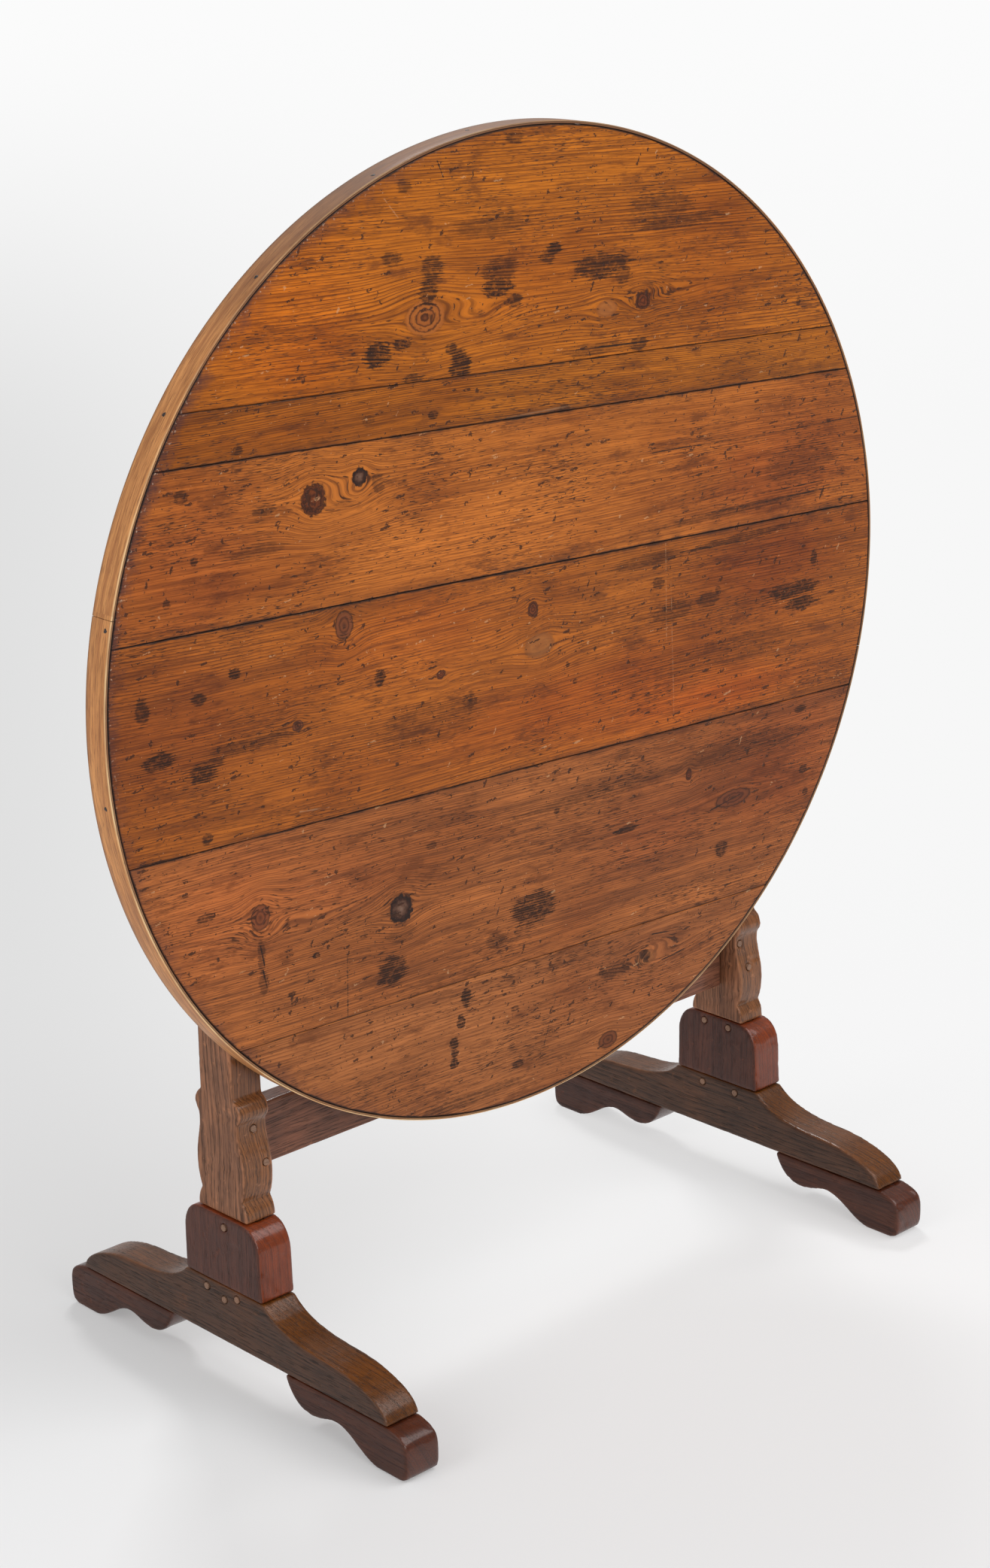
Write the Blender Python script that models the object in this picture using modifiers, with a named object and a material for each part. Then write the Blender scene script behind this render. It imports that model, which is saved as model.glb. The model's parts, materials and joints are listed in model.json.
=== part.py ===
"""A tilt top trestle table: a round pine top that turns on two oak standards.

Each trestle is a foot beam on two shaped pads, with a rounded block on it and a scrolled standard whose
tenon runs down through the block into the beam. A stretcher joins the standards. The top is six boards
nailed to two battens and edged with a bent strip. It hangs on two wooden pins and stands here tilted up.
X runs along the stretcher, and the top faces -Y.
"""

import math

import bmesh
import bpy
from mathutils import Matrix, Vector

# Driving dimensions, in metres
GAP = 0.0003  # clearance left between touching pieces

TRESTLE_OUTER = 0.363  # outer face of each foot beam, from the middle
FOOT_THICK = 0.0406
FOOT_HALF_LENGTH = 0.2568
BEAM_UNDERSIDE = 0.0475
BEAM_TOP = 0.1072
BLOCK_TOP = 0.1805
BLOCK_HALF_WIDTH = 0.0578
STANDARD_THICK = 0.036
STANDARD_SETBACK = 0.0038  # from the foot beam's outer face

TENON_THICK = 0.012
TENON_HALF_WIDTH = 0.0325
TENON_FOOT = 0.0600  # how low the standard's tenon reaches in the beam

STRETCHER_THICK = 0.0230
STRETCHER_Y = 0.0040
STRETCHER_LOW = 0.2185
STRETCHER_HIGH = 0.2815
STRETCHER_TENON = 0.027
STRETCHER_TENON_THICK = 0.011
STRETCHER_SHOULDER = 0.0035  # shoulder above and below its tenon

PIVOT_HEIGHT = 0.6843
TILT = math.radians(91.43)  # the top leans a little past upright, on the standards' front edges
PIVOT_TO_UNDERSIDE = 0.0340
TOP_THICK = 0.0274
TOP_HALF_LENGTH = 0.500  # along the grain
TOP_HALF_WIDTH = 0.4808  # across it, where the boards have shrunk
TOP_SIDES = 120
EDGING_THICK = 0.0034
EDGING_JOINT = math.radians(167.1)
BOARD_SEAMS = (-0.3316, -0.1314, 0.0666, 0.2115, 0.2579)
BOARD_SKEW = math.radians(-1.84)

BATTEN_INNER = 0.3605
BATTEN_WIDE = 0.048
BATTEN_DEEP = 0.026
BATTEN_HALF_LENGTH = 0.262
BATTEN_END = 0.008
BATTEN_LOBE = 0.020  # how far the batten reaches below the pivot

PIN_RADIUS = 0.0080
LOCK_RADIUS = 0.0035
LOCK_HEIGHT = 0.0262  # above the pivot, with the top laid flat
LOCK_TRAVEL = 0.0355
PEG_RADIUS = 0.0034
PEG_PROUD = 0.0004
NAIL_HEAD = 0.0029
NAIL_SHANK = 0.0013

# Places that the left and right trestles don't share: (along the peg's cross direction, height)
STRETCHER_PEGS = {
    "left": ((-0.339, 0.2705), (-0.331, 0.2360)),
    "right": ((0.330, 0.2705), (0.338, 0.2430)),
}
BLOCK_PEGS = {"left": ((-0.005, 0.1695),), "right": ((0.0175, 0.1720), (-0.0175, 0.1720))}
BEAM_PEGS = {
    "left": ((0.0265, 0.0985), (0.0, 0.0930), (-0.0195, 0.0995)),
    "right": ((0.0205, 0.0985), (-0.0270, 0.0985)),
}
BATTEN_NAILS = {
    "left": ((-0.403, 0.214), (-0.402, 0.121), (-0.400, 0.020), (-0.396, -0.111), (-0.395, -0.231)),
    "right": ((0.372, 0.240), (0.376, 0.168), (0.382, 0.070), (0.391, -0.157), (0.398, -0.228)),
}
PAD_NAILS = (0.124, 0.160)

TOP_INNER = Vector((TOP_HALF_LENGTH - EDGING_THICK - GAP, TOP_HALF_WIDTH - EDGING_THICK - GAP))
STANDARD_OUTER = TRESTLE_OUTER - STANDARD_SETBACK
STANDARD_INNER = STANDARD_OUTER - STANDARD_THICK
SIDES = {"left": -1, "right": 1}
UPRIGHT = Matrix.Rotation(math.pi / 2, 4, "Z") @ Matrix.Rotation(math.pi / 2, 4, "X")  # XY outline to YZ
ALONG_X = Matrix.Rotation(math.pi / 2, 4, "Y")
ALONG_Y = Matrix.Rotation(-math.pi / 2, 4, "X")


def clear_scene():
    for obj in list(bpy.data.objects):
        bpy.data.objects.remove(obj, do_unlink=True)


def collection(name, hidden):
    group = bpy.data.collections.new(name)
    bpy.context.scene.collection.children.link(group)
    group.hide_render = hidden
    return group


def finish(name, colour, roughness, metallic=0.0):
    material = bpy.data.materials.new(name)
    material.use_nodes = True
    shader = material.node_tree.nodes["Principled BSDF"]
    shader.inputs["Base Color"].default_value = (*colour, 1)
    shader.inputs["Roughness"].default_value = roughness
    shader.inputs["Metallic"].default_value = metallic
    material.diffuse_color = (*colour, 1)
    return material


def at(x=0.0, y=0.0, z=0.0):
    return Matrix.Translation((x, y, z))


def add(name, mesh, material, place, parent=None):
    """A piece of the table, placed in its parent's frame."""
    obj = bpy.data.objects.new(name, mesh)
    PIECES.objects.link(obj)
    obj.parent = parent
    obj.matrix_local = place
    mesh.name = name
    mesh.materials.append(material)
    return obj


def add_cutter(name, mesh, place, parent=None):
    obj = bpy.data.objects.new(name, mesh)
    CUTTERS.objects.link(obj)
    obj.parent = parent
    obj.matrix_local = place
    obj.hide_render = True
    obj.display_type = "WIRE"
    return obj


def boolean(obj, other, operation="DIFFERENCE"):
    modifier = obj.modifiers.new(f"{operation.lower()} {other.name}", "BOOLEAN")
    modifier.operation = operation
    modifier.solver = obj.get("solver", "EXACT")
    modifier.object = other


def soften(obj, width):
    """Round the square arrises, and leave the facets of curved edges alone."""
    modifier = obj.modifiers.new("worn arrises", "BEVEL")
    modifier.width = width
    modifier.segments = 1
    modifier.limit_method = "ANGLE"
    modifier.angle_limit = math.radians(60)


def shade_round(mesh):
    mesh.shade_smooth()
    mesh.set_sharp_from_angle(angle=math.radians(40))


def box(size):
    mesh = bpy.data.meshes.new("box")
    shape = bmesh.new()
    bmesh.ops.create_cube(shape, size=1, matrix=Matrix.Diagonal((*size, 1)))
    shape.to_mesh(mesh)
    shape.free()
    return mesh


def rod(radius, length, sides=14):
    """A round rod along Z, centred."""
    mesh = bpy.data.meshes.new("rod")
    shape = bmesh.new()
    bmesh.ops.create_cone(
        shape, cap_ends=True, segments=sides, radius1=radius, radius2=radius, depth=length
    )
    shape.to_mesh(mesh)
    shape.free()
    shade_round(mesh)
    return mesh


def flat_piece(outline, thickness):
    """An outline in XY, made solid along Z and centred on its plane."""
    curve = bpy.data.curves.new("outline", "CURVE")
    curve.dimensions = "2D"
    curve.fill_mode = "BOTH"
    curve.extrude = thickness / 2
    trace(curve, outline, closed=True)
    return mesh_of(curve)


def trace(curve, points, closed):
    spline = curve.splines.new("POLY")
    spline.points.add(len(points) - 1)
    for point, (x, y) in zip(spline.points, points):
        point.co = (x, y, 0, 1)
    spline.use_cyclic_u = closed


def mesh_of(curve):
    """The curve as a mesh, with its caps welded on and each cap made one face."""
    guide = bpy.data.objects.new("guide", curve)
    CUTTERS.objects.link(guide)
    bpy.context.view_layer.update()
    graph = bpy.context.evaluated_depsgraph_get()
    mesh = bpy.data.meshes.new_from_object(guide.evaluated_get(graph))
    bpy.data.objects.remove(guide, do_unlink=True)
    shape = bmesh.new()
    shape.from_mesh(mesh)
    bmesh.ops.remove_doubles(shape, verts=shape.verts, dist=1e-6)
    bmesh.ops.recalc_face_normals(shape, faces=shape.faces)
    inside_caps = [e for e in shape.edges if all(abs(face.normal.z) > 0.9 for face in e.link_faces)]
    bmesh.ops.dissolve_edges(shape, edges=inside_caps)
    shape.to_mesh(mesh)
    shape.free()
    shade_round(mesh)
    return mesh


def turned(name, profile, material, place, parent=None, steps=24):
    """A turned piece along Z, from a profile of (radius, height) that runs down its outer side."""
    mesh = bpy.data.meshes.new(name)
    points = [(radius, 0, height) for radius, height in profile]
    mesh.from_pydata(points, [(i, i + 1) for i in range(len(points) - 1)], [])
    if material:
        obj = add(name, mesh, material, place, parent)
    else:
        obj = add_cutter(name, mesh, place, parent)
    screw = obj.modifiers.new("turning", "SCREW")
    screw.steps = steps
    screw.render_steps = steps
    screw.use_merge_vertices = True
    screw.merge_threshold = 0.00001
    screw.use_smooth_shade = True
    return obj


def through(points, steps=3):
    """Points on a smooth curve that passes through the given ones."""
    ends = [points[0], *points, points[-1]]
    smooth = []
    for before, start, end, after in zip(ends, ends[1:], ends[2:], ends[3:]):
        p0, p1, p2, p3 = (Vector(p) for p in (before, start, end, after))
        for i in range(steps):
            t = i / steps
            smooth.append(
                tuple(0.5 * (2 * p1 + (p2 - p0) * t + (2 * p0 - 5 * p1 + 4 * p2 - p3) * t**2
                             + (3 * p1 - p0 - 3 * p2 + p3) * t**3))
            )
    return [*smooth, tuple(points[-1])]


def both_sides(half):
    """A half outline at +X, and its mirror image, as one closed outline."""
    return [*half, *((-x, y) for x, y in reversed(half))]


def ellipse(semi, angle):
    return (semi[0] * math.cos(angle), semi[1] * math.sin(angle))


def beam_outline():
    """Half of the foot beam: flat under the block, a hollow, a low hump and a rounded end."""
    slope = through(
        [(BLOCK_HALF_WIDTH + 0.001, BEAM_TOP), (0.068, 0.0995), (0.083, 0.0918), (0.104, 0.0862),
         (0.128, 0.0832), (0.152, 0.0820), (0.175, 0.0795), (0.196, 0.0742), (0.213, 0.0675),
         (0.2245, 0.0595), (0.2300, 0.0515)]
    )
    return both_sides([(0.2312, BEAM_UNDERSIDE), *reversed(slope)])


def pad_outline():
    """The front pad: its arch, its cusp under the beam and its blunt nose, with Y as the distance out."""
    arch = through(
        [(0.0860, BEAM_UNDERSIDE - GAP), (0.0905, 0.0370), (0.0990, 0.0262), (0.1100, 0.0195),
         (0.1230, 0.0175), (0.1370, 0.0195), (0.1500, 0.0232), (0.1620, 0.0238), (0.1760, 0.0190),
         (0.1900, 0.0105), (0.2030, 0.0035), (0.2140, 0.0)]
    )
    nose = through(
        [(0.2470, 0.0), (0.2535, 0.0030), (0.2562, 0.0100), (FOOT_HALF_LENGTH, 0.0215), (0.2562, 0.0310),
         (0.2530, 0.0385), (0.2455, 0.0435), (0.2330, BEAM_UNDERSIDE - GAP)]
    )
    return [*arch, *nose]


def block_outline():
    """A block with quarter round shoulders."""
    low = BEAM_TOP + GAP
    wide, tall = 0.0235, 0.0290
    corner = [
        (BLOCK_HALF_WIDTH - 0.001 - wide + wide * math.cos(a), BLOCK_TOP - tall + tall * math.sin(a))
        for a in (i * math.pi / 24 for i in range(13))
    ]
    return both_sides([(BLOCK_HALF_WIDTH, low), *corner])


def standard_outline():
    """The standard from its tenon to its head: lower lip, belly, hollow, upper lip and a plain shaft.

    The front of the head is rounded about the pivot, so that the top swings clear of it.
    """
    base = BLOCK_TOP + GAP
    lower_lip = through([(0.0365, base), (0.0362, 0.1865), (0.0348, 0.1925), (0.0322, 0.1975)])
    belly = through(
        [(0.0302, 0.2005), (0.0325, 0.2065), (0.0344, 0.2150), (0.0353, 0.2250), (0.0350, 0.2360),
         (0.0332, 0.2465), (0.0306, 0.2570), (0.0287, 0.2670), (0.0284, 0.2745)]
    )
    upper_lip = through(
        [(0.0290, 0.2780), (0.0312, 0.2812), (0.0332, 0.2850), (0.0338, 0.2890), (0.0325, 0.2940),
         (0.0296, 0.2985), (0.0262, 0.3010)]
    )
    shaft = [(0.0243, 0.3030), (0.0241, 0.3300), (0.0228, 0.3900), (0.0218, 0.4800)]
    edge = [*lower_lip, *belly, *upper_lip, *shaft]
    reach = PIVOT_TO_UNDERSIDE - GAP
    half_width = shaft[-1][0]
    start = math.acos(half_width / reach)
    head = [
        (-reach * math.cos(a), PIVOT_HEIGHT + reach * math.sin(a))
        for a in (start + (math.pi / 2 - start) * i / 8 for i in range(9))
    ]
    rear_head = [(half_width - 0.002, PIVOT_HEIGHT + reach), (half_width, PIVOT_HEIGHT + reach - 0.002)]
    rear = [*edge, *reversed(rear_head), *reversed(head)]
    return [*rear, *((-y, z) for y, z in reversed(edge))]


def batten_outline():
    """Half of a batten's side: bevelled end, plain run and a deeper lobe at the pivot.

    Its Y is up with the top laid flat.
    """
    top = PIVOT_TO_UNDERSIDE - GAP
    low = top - BATTEN_DEEP
    lobe = through(
        [(0.098, low), (0.080, low - 0.0045), (0.062, -0.0080), (0.046, -0.0165), (0.024, -BATTEN_LOBE)]
    )
    half = [(BATTEN_HALF_LENGTH, top), (BATTEN_HALF_LENGTH, top - BATTEN_END),
            (BATTEN_HALF_LENGTH - 0.055, low), *lobe]
    return both_sides(half)


def peg(name, place, length, pierced):
    """A wooden peg along its place's Z, in a hole cut through each piece that it pins."""
    pin = add(name, rod(PEG_RADIUS, length), PEG_WOOD, place)
    soften(pin, 0.0004)
    hole = add_cutter(name + "_hole", rod(PEG_RADIUS + GAP, length + 0.02), place)
    for obj in pierced:
        boolean(obj, hole)


def nail(name, place, length, pierced, parent=None):
    """An iron nail with its head at its place, driven down its place's -Z, in holes of its own shape."""
    head, shank = NAIL_HEAD, NAIL_SHANK
    profile = [(0, 0), (head * 0.8, -0.0001), (head, -0.0006), (head, -0.0013), (shank, -0.0020),
               (shank, -length * 0.8), (0, -length)]
    turned(name, profile, IRON, place, parent, steps=8)
    wide = head + GAP
    cut = [(0, 0.004), (wide, 0.004), (wide, -0.0013 - GAP), (shank + GAP, -0.0020 - GAP),
           (shank + GAP, -length * 0.8), (0, -length - 2 * GAP)]
    hole = turned(name + "_hole", cut, None, place, parent, steps=8)
    for obj in pierced:
        boolean(obj, hole)


def trestle(side, sign):
    """One trestle: foot beam, two pads, block and standard, with the tenon through them and its pegs."""
    middle = sign * (TRESTLE_OUTER - FOOT_THICK / 2)
    standard_middle = sign * (STANDARD_INNER + STANDARD_THICK / 2)
    beam = add(f"{side}_foot_beam", flat_piece(beam_outline(), FOOT_THICK), OAK, at(middle) @ UPRIGHT)
    block = add(f"{side}_block", flat_piece(block_outline(), FOOT_THICK), MAHOGANY, at(middle) @ UPRIGHT)
    shaft = flat_piece(standard_outline(), STANDARD_THICK)
    standard = add(f"{side}_standard", shaft, OAK, at(standard_middle) @ UPRIGHT)
    for obj in (beam, block, standard):
        soften(obj, 0.0013)

    tenon_top = BLOCK_TOP + 0.012
    size = (TENON_THICK, 2 * TENON_HALF_WIDTH, tenon_top - TENON_FOOT)
    centre = at(standard_middle, 0, (tenon_top + TENON_FOOT) / 2)
    boolean(standard, add_cutter(f"{side}_tenon", box(size), centre), "UNION")
    mortise = add_cutter(f"{side}_mortise", box([length + 2 * GAP for length in size]), centre)
    boolean(beam, mortise)
    boolean(block, mortise)

    for end, turn in (("front", math.pi), ("rear", 0.0)):
        place = Matrix.Rotation(turn, 4, "Z") @ at(-middle if turn else middle) @ UPRIGHT
        pad = add(f"{side}_{end}_pad", flat_piece(pad_outline(), FOOT_THICK), MAHOGANY, place)
        soften(pad, 0.0016)
        for number, out in enumerate(PAD_NAILS, 1):
            y = -out if turn else out
            head = at(middle, y, 0.0176 if number == 1 else 0.0238) @ Matrix.Rotation(math.pi, 4, "X")
            nail(f"{side}_{end}_pad_nail_{number}", head @ at(0, 0, -0.0006), 0.045, (pad, beam))

    face = FOOT_THICK + 2 * PEG_PROUD
    for number, (y, z) in enumerate(BLOCK_PEGS[side], 1):
        peg(f"{side}_block_peg_{number}", at(middle, y, z) @ ALONG_X, face, (block, standard))
    for number, (y, z) in enumerate(BEAM_PEGS[side], 1):
        peg(f"{side}_beam_peg_{number}", at(middle, y, z) @ ALONG_X, face, (beam, standard))
    return standard


def stretcher(standards):
    """The board between the standards, tenoned into each and pinned with two pegs from the front."""
    height = STRETCHER_HIGH - STRETCHER_LOW
    middle = (STRETCHER_HIGH + STRETCHER_LOW) / 2
    plank = box((2 * (STANDARD_INNER - GAP), STRETCHER_THICK, height))
    rail = add("stretcher", plank, OAK, at(0, STRETCHER_Y, middle))
    soften(rail, 0.0012)
    tenon_height = height - 2 * STRETCHER_SHOULDER
    for side, sign in SIDES.items():
        size = (STRETCHER_TENON + 0.02, STRETCHER_TENON_THICK, tenon_height)
        centre = at(sign * (STANDARD_INNER + STRETCHER_TENON - size[0] / 2), STRETCHER_Y, middle)
        boolean(rail, add_cutter(f"stretcher_{side}_tenon", box(size), centre), "UNION")
        mortise = box([length + 2 * GAP for length in size])
        boolean(standards[side], add_cutter(f"stretcher_{side}_mortise", mortise, centre))
        for number, (x, z) in enumerate(STRETCHER_PEGS[side], 1):
            half_width = 0.0284 if number == 1 else 0.0350
            length = 2 * (half_width + PEG_PROUD)
            peg(f"{side}_stretcher_peg_{number}", at(x, 0, z) @ ALONG_Y, length, (rail, standards[side]))


def boards(pivot):
    """The six boards, laid a little askew and trimmed to the oval inside the edging."""
    inside = add_cutter(
        "top_oval",
        flat_piece([ellipse(TOP_INNER, 2 * math.pi * i / TOP_SIDES) for i in range(TOP_SIDES)], 0.2),
        at(0, 0, PIVOT_TO_UNDERSIDE),
        pivot,
    )
    edges = [-TOP_HALF_WIDTH - 0.03, *BOARD_SEAMS, TOP_HALF_WIDTH + 0.03]
    made = []
    for number, (low, high) in enumerate(zip(edges, edges[1:]), 1):
        size = (3 * TOP_HALF_LENGTH, high - low - GAP, TOP_THICK)
        place = Matrix.Rotation(BOARD_SKEW, 4, "Z") @ at(
            0, (low + high) / 2, PIVOT_TO_UNDERSIDE + TOP_THICK / 2
        )
        board = add(f"top_board_{number}", box(size), PINE, place, pivot)
        boolean(board, inside, "INTERSECT")
        soften(board, 0.0006)
        made.append(board)
    return made


def edging(pivot):
    """The bent strip round the boards, in two lengths that butt at the grain's ends."""
    semi = (TOP_HALF_LENGTH - EDGING_THICK / 2, TOP_HALF_WIDTH - EDGING_THICK / 2)
    butt = GAP / TOP_HALF_LENGTH
    half_turn = TOP_SIDES // 2
    for name, start in (("upper_edging", EDGING_JOINT - math.pi), ("lower_edging", EDGING_JOINT)):
        curve = bpy.data.curves.new(name, "CURVE")
        curve.dimensions = "2D"
        curve.fill_mode = "NONE"
        curve.extrude = TOP_THICK / 2
        angles = [start + math.pi * i / half_turn for i in range(half_turn + 1)]
        angles[0] += butt
        angles[-1] -= butt
        trace(curve, [ellipse(semi, a) for a in angles], closed=False)
        strip = add(name, mesh_of(curve), EDGING, at(0, 0, PIVOT_TO_UNDERSIDE + TOP_THICK / 2), pivot)
        wall = strip.modifiers.new("thickness", "SOLIDIFY")
        wall.thickness = EDGING_THICK
        wall.offset = 0


def battens(pivot, top_boards):
    """The two battens across the back of the boards, outside the standards, and their nails."""
    made = {}
    for side, sign in SIDES.items():
        middle = sign * (BATTEN_INNER + BATTEN_WIDE / 2)
        bar = flat_piece(batten_outline(), BATTEN_WIDE)
        batten = add(f"{side}_batten", bar, DARK_PINE, at(middle) @ UPRIGHT, pivot)
        soften(batten, 0.0012)
        batten["solver"] = "MANIFOLD"  # the exact solver leaves its nail holes open
        for number, (x, y) in enumerate(BATTEN_NAILS[side], 1):
            head = at(x, y, PIVOT_TO_UNDERSIDE + TOP_THICK - 0.0004)
            crossed = [board for board in top_boards if crosses(board, x, y)]
            nail(f"{side}_batten_nail_{number}", head, 0.040, (batten, *crossed), pivot)
        made[side] = batten
    return made


def crosses(board, x, y):
    """Whether a nail at this place goes through the board."""
    number = int(board.name.rsplit("_", 1)[1])
    edges = (-math.inf, *BOARD_SEAMS, math.inf)
    across = y * math.cos(BOARD_SKEW) - x * math.sin(BOARD_SKEW)
    return edges[number - 1] < across < edges[number]


def pivot_pins(pivot, standards, cross_battens):
    """A headed pin on each side, fast in its batten, that turns in its standard."""
    shank = BATTEN_INNER + BATTEN_WIDE + GAP - (STANDARD_INNER - 0.004)
    head = 0.0065
    for side, sign in SIDES.items():
        facing = at(sign * (STANDARD_INNER - 0.004)) @ Matrix.Rotation(sign * math.pi / 2, 4, "Y")
        profile = [(0, shank + head), (0.0070, shank + head - 0.0003), (0.0110, shank + head - 0.0018),
                   (0.0125, shank + head / 2), (0.0120, shank), (PIN_RADIUS, shank), (PIN_RADIUS, 0.0012),
                   (PIN_RADIUS - 0.0012, 0), (0, 0)]
        turned(f"{side}_pivot_pin", profile, BEECH, facing, pivot)
        middle = sign * (STANDARD_INNER + shank / 2)
        bore = rod(PIN_RADIUS + GAP, shank + 0.04, 32)
        boolean(cross_battens[side], add_cutter(f"{side}_batten_bore", bore, at(middle) @ ALONG_X, pivot))
        bore = rod(PIN_RADIUS + GAP, shank + 0.04, 32)
        place = at(middle, 0, PIVOT_HEIGHT) @ ALONG_X
        boolean(standards[side], add_cutter(f"{side}_standard_bore", bore, place))


def locking_peg(pivot, standards, cross_battens):
    """The loose peg that holds the top flat, drawn back in the right batten while the top is up."""
    tip = BATTEN_INNER + 0.001
    shank = BATTEN_INNER + BATTEN_WIDE + LOCK_TRAVEL + 0.0015 - tip
    knob = [(0, 0.0150), (0.0040, 0.0143), (0.0062, 0.0115), (0.0067, 0.0080), (0.0060, 0.0045),
            (0.0050, 0.0015), (0.0052, 0), (LOCK_RADIUS, 0)]
    profile = [*((radius, shank + height) for radius, height in knob), (LOCK_RADIUS, 0.003),
               (LOCK_RADIUS - 0.0012, 0), (0, 0)]
    place = at(tip, 0, LOCK_HEIGHT) @ Matrix.Rotation(math.pi / 2, 4, "Y")
    turned("locking_peg", profile, BEECH, place, pivot)
    place = at(BATTEN_INNER, 0, LOCK_HEIGHT) @ ALONG_X
    bore = add_cutter("batten_lock_hole", rod(LOCK_RADIUS + GAP, 0.14, 20), place, pivot)
    boolean(cross_battens["right"], bore)
    place = at(BATTEN_INNER, 0, PIVOT_HEIGHT + LOCK_HEIGHT) @ ALONG_X
    bore = add_cutter("standard_lock_hole", rod(LOCK_RADIUS + GAP, 0.14, 20), place)
    boolean(standards["right"], bore)


def tilting_top(standards):
    """Everything that turns, made as it lies flat about the pivot, and tilted up as one."""
    pivot = bpy.data.objects.new("pivot", None)
    PIECES.objects.link(pivot)
    pivot.matrix_world = at(0, 0, PIVOT_HEIGHT) @ Matrix.Rotation(TILT, 4, "X")
    top_boards = boards(pivot)
    edging(pivot)
    cross_battens = battens(pivot, top_boards)
    pivot_pins(pivot, standards, cross_battens)
    locking_peg(pivot, standards, cross_battens)


clear_scene()
PIECES = collection("tilt_top_table", hidden=False)
CUTTERS = collection("cutters", hidden=True)
PINE = finish("waxed pine", (0.42, 0.17, 0.05), 0.38)
DARK_PINE = finish("unpolished pine", (0.30, 0.15, 0.07), 0.65)
EDGING = finish("edging strip", (0.50, 0.28, 0.12), 0.45)
OAK = finish("old oak", (0.13, 0.065, 0.035), 0.5)
MAHOGANY = finish("dark mahogany", (0.07, 0.022, 0.015), 0.4)
PEG_WOOD = finish("peg oak", (0.25, 0.15, 0.08), 0.6)
BEECH = finish("turned beech", (0.28, 0.15, 0.07), 0.5)
IRON = finish("nail iron", (0.04, 0.03, 0.03), 0.6, 0.7)

both_standards = {side: trestle(side, sign) for side, sign in SIDES.items()}
stretcher(both_standards)
tilting_top(both_standards)
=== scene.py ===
"""The looks of a tilt top trestle table: old waxed pine boards, a pale bent edging and dark oak and mahogany
trestles, in soft studio light.
"""

import json
import math

import bmesh
import bpy
import numpy as np
from mathutils import Matrix, Vector


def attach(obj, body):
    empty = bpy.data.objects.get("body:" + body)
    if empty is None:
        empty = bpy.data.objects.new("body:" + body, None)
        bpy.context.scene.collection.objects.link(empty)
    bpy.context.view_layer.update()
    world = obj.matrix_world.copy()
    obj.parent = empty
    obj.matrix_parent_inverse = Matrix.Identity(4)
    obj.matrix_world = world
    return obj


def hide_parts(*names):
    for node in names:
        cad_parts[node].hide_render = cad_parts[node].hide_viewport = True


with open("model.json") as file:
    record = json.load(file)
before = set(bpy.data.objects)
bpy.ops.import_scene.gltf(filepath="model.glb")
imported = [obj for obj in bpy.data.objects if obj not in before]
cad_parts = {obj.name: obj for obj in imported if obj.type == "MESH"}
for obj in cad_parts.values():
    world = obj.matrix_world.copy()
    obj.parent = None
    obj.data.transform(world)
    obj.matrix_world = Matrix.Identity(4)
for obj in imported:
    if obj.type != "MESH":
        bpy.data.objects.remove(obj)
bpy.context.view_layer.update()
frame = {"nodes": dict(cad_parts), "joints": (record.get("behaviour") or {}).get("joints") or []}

NODES = frame["nodes"]
TILT_JOINT = next(joint for joint in frame["joints"] if joint["name"] == "top_tilt")
TILT = math.radians(TILT_JOINT["range_deg"][1])
PIVOT = Matrix.Translation(TILT_JOINT["pos_m"]) @ Matrix.Rotation(TILT, 4, "X")  # the top's own frame
SKEW = math.radians(-1.84)  # the boards lie this far off the top's long axis
SHARP = math.radians(50)  # edges bent more than this stay crisp

CAMERA_PLACE = (-1.888, -2.044, 1.391)
CAMERA_HEADING = math.radians(-42.79)
CAMERA_FALL = math.radians(17.36)
CAMERA_ROLL = math.radians(-1.49)
CAMERA_LENS = 68.0
CAMERA_SENSOR = 36


# Node graphs


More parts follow.
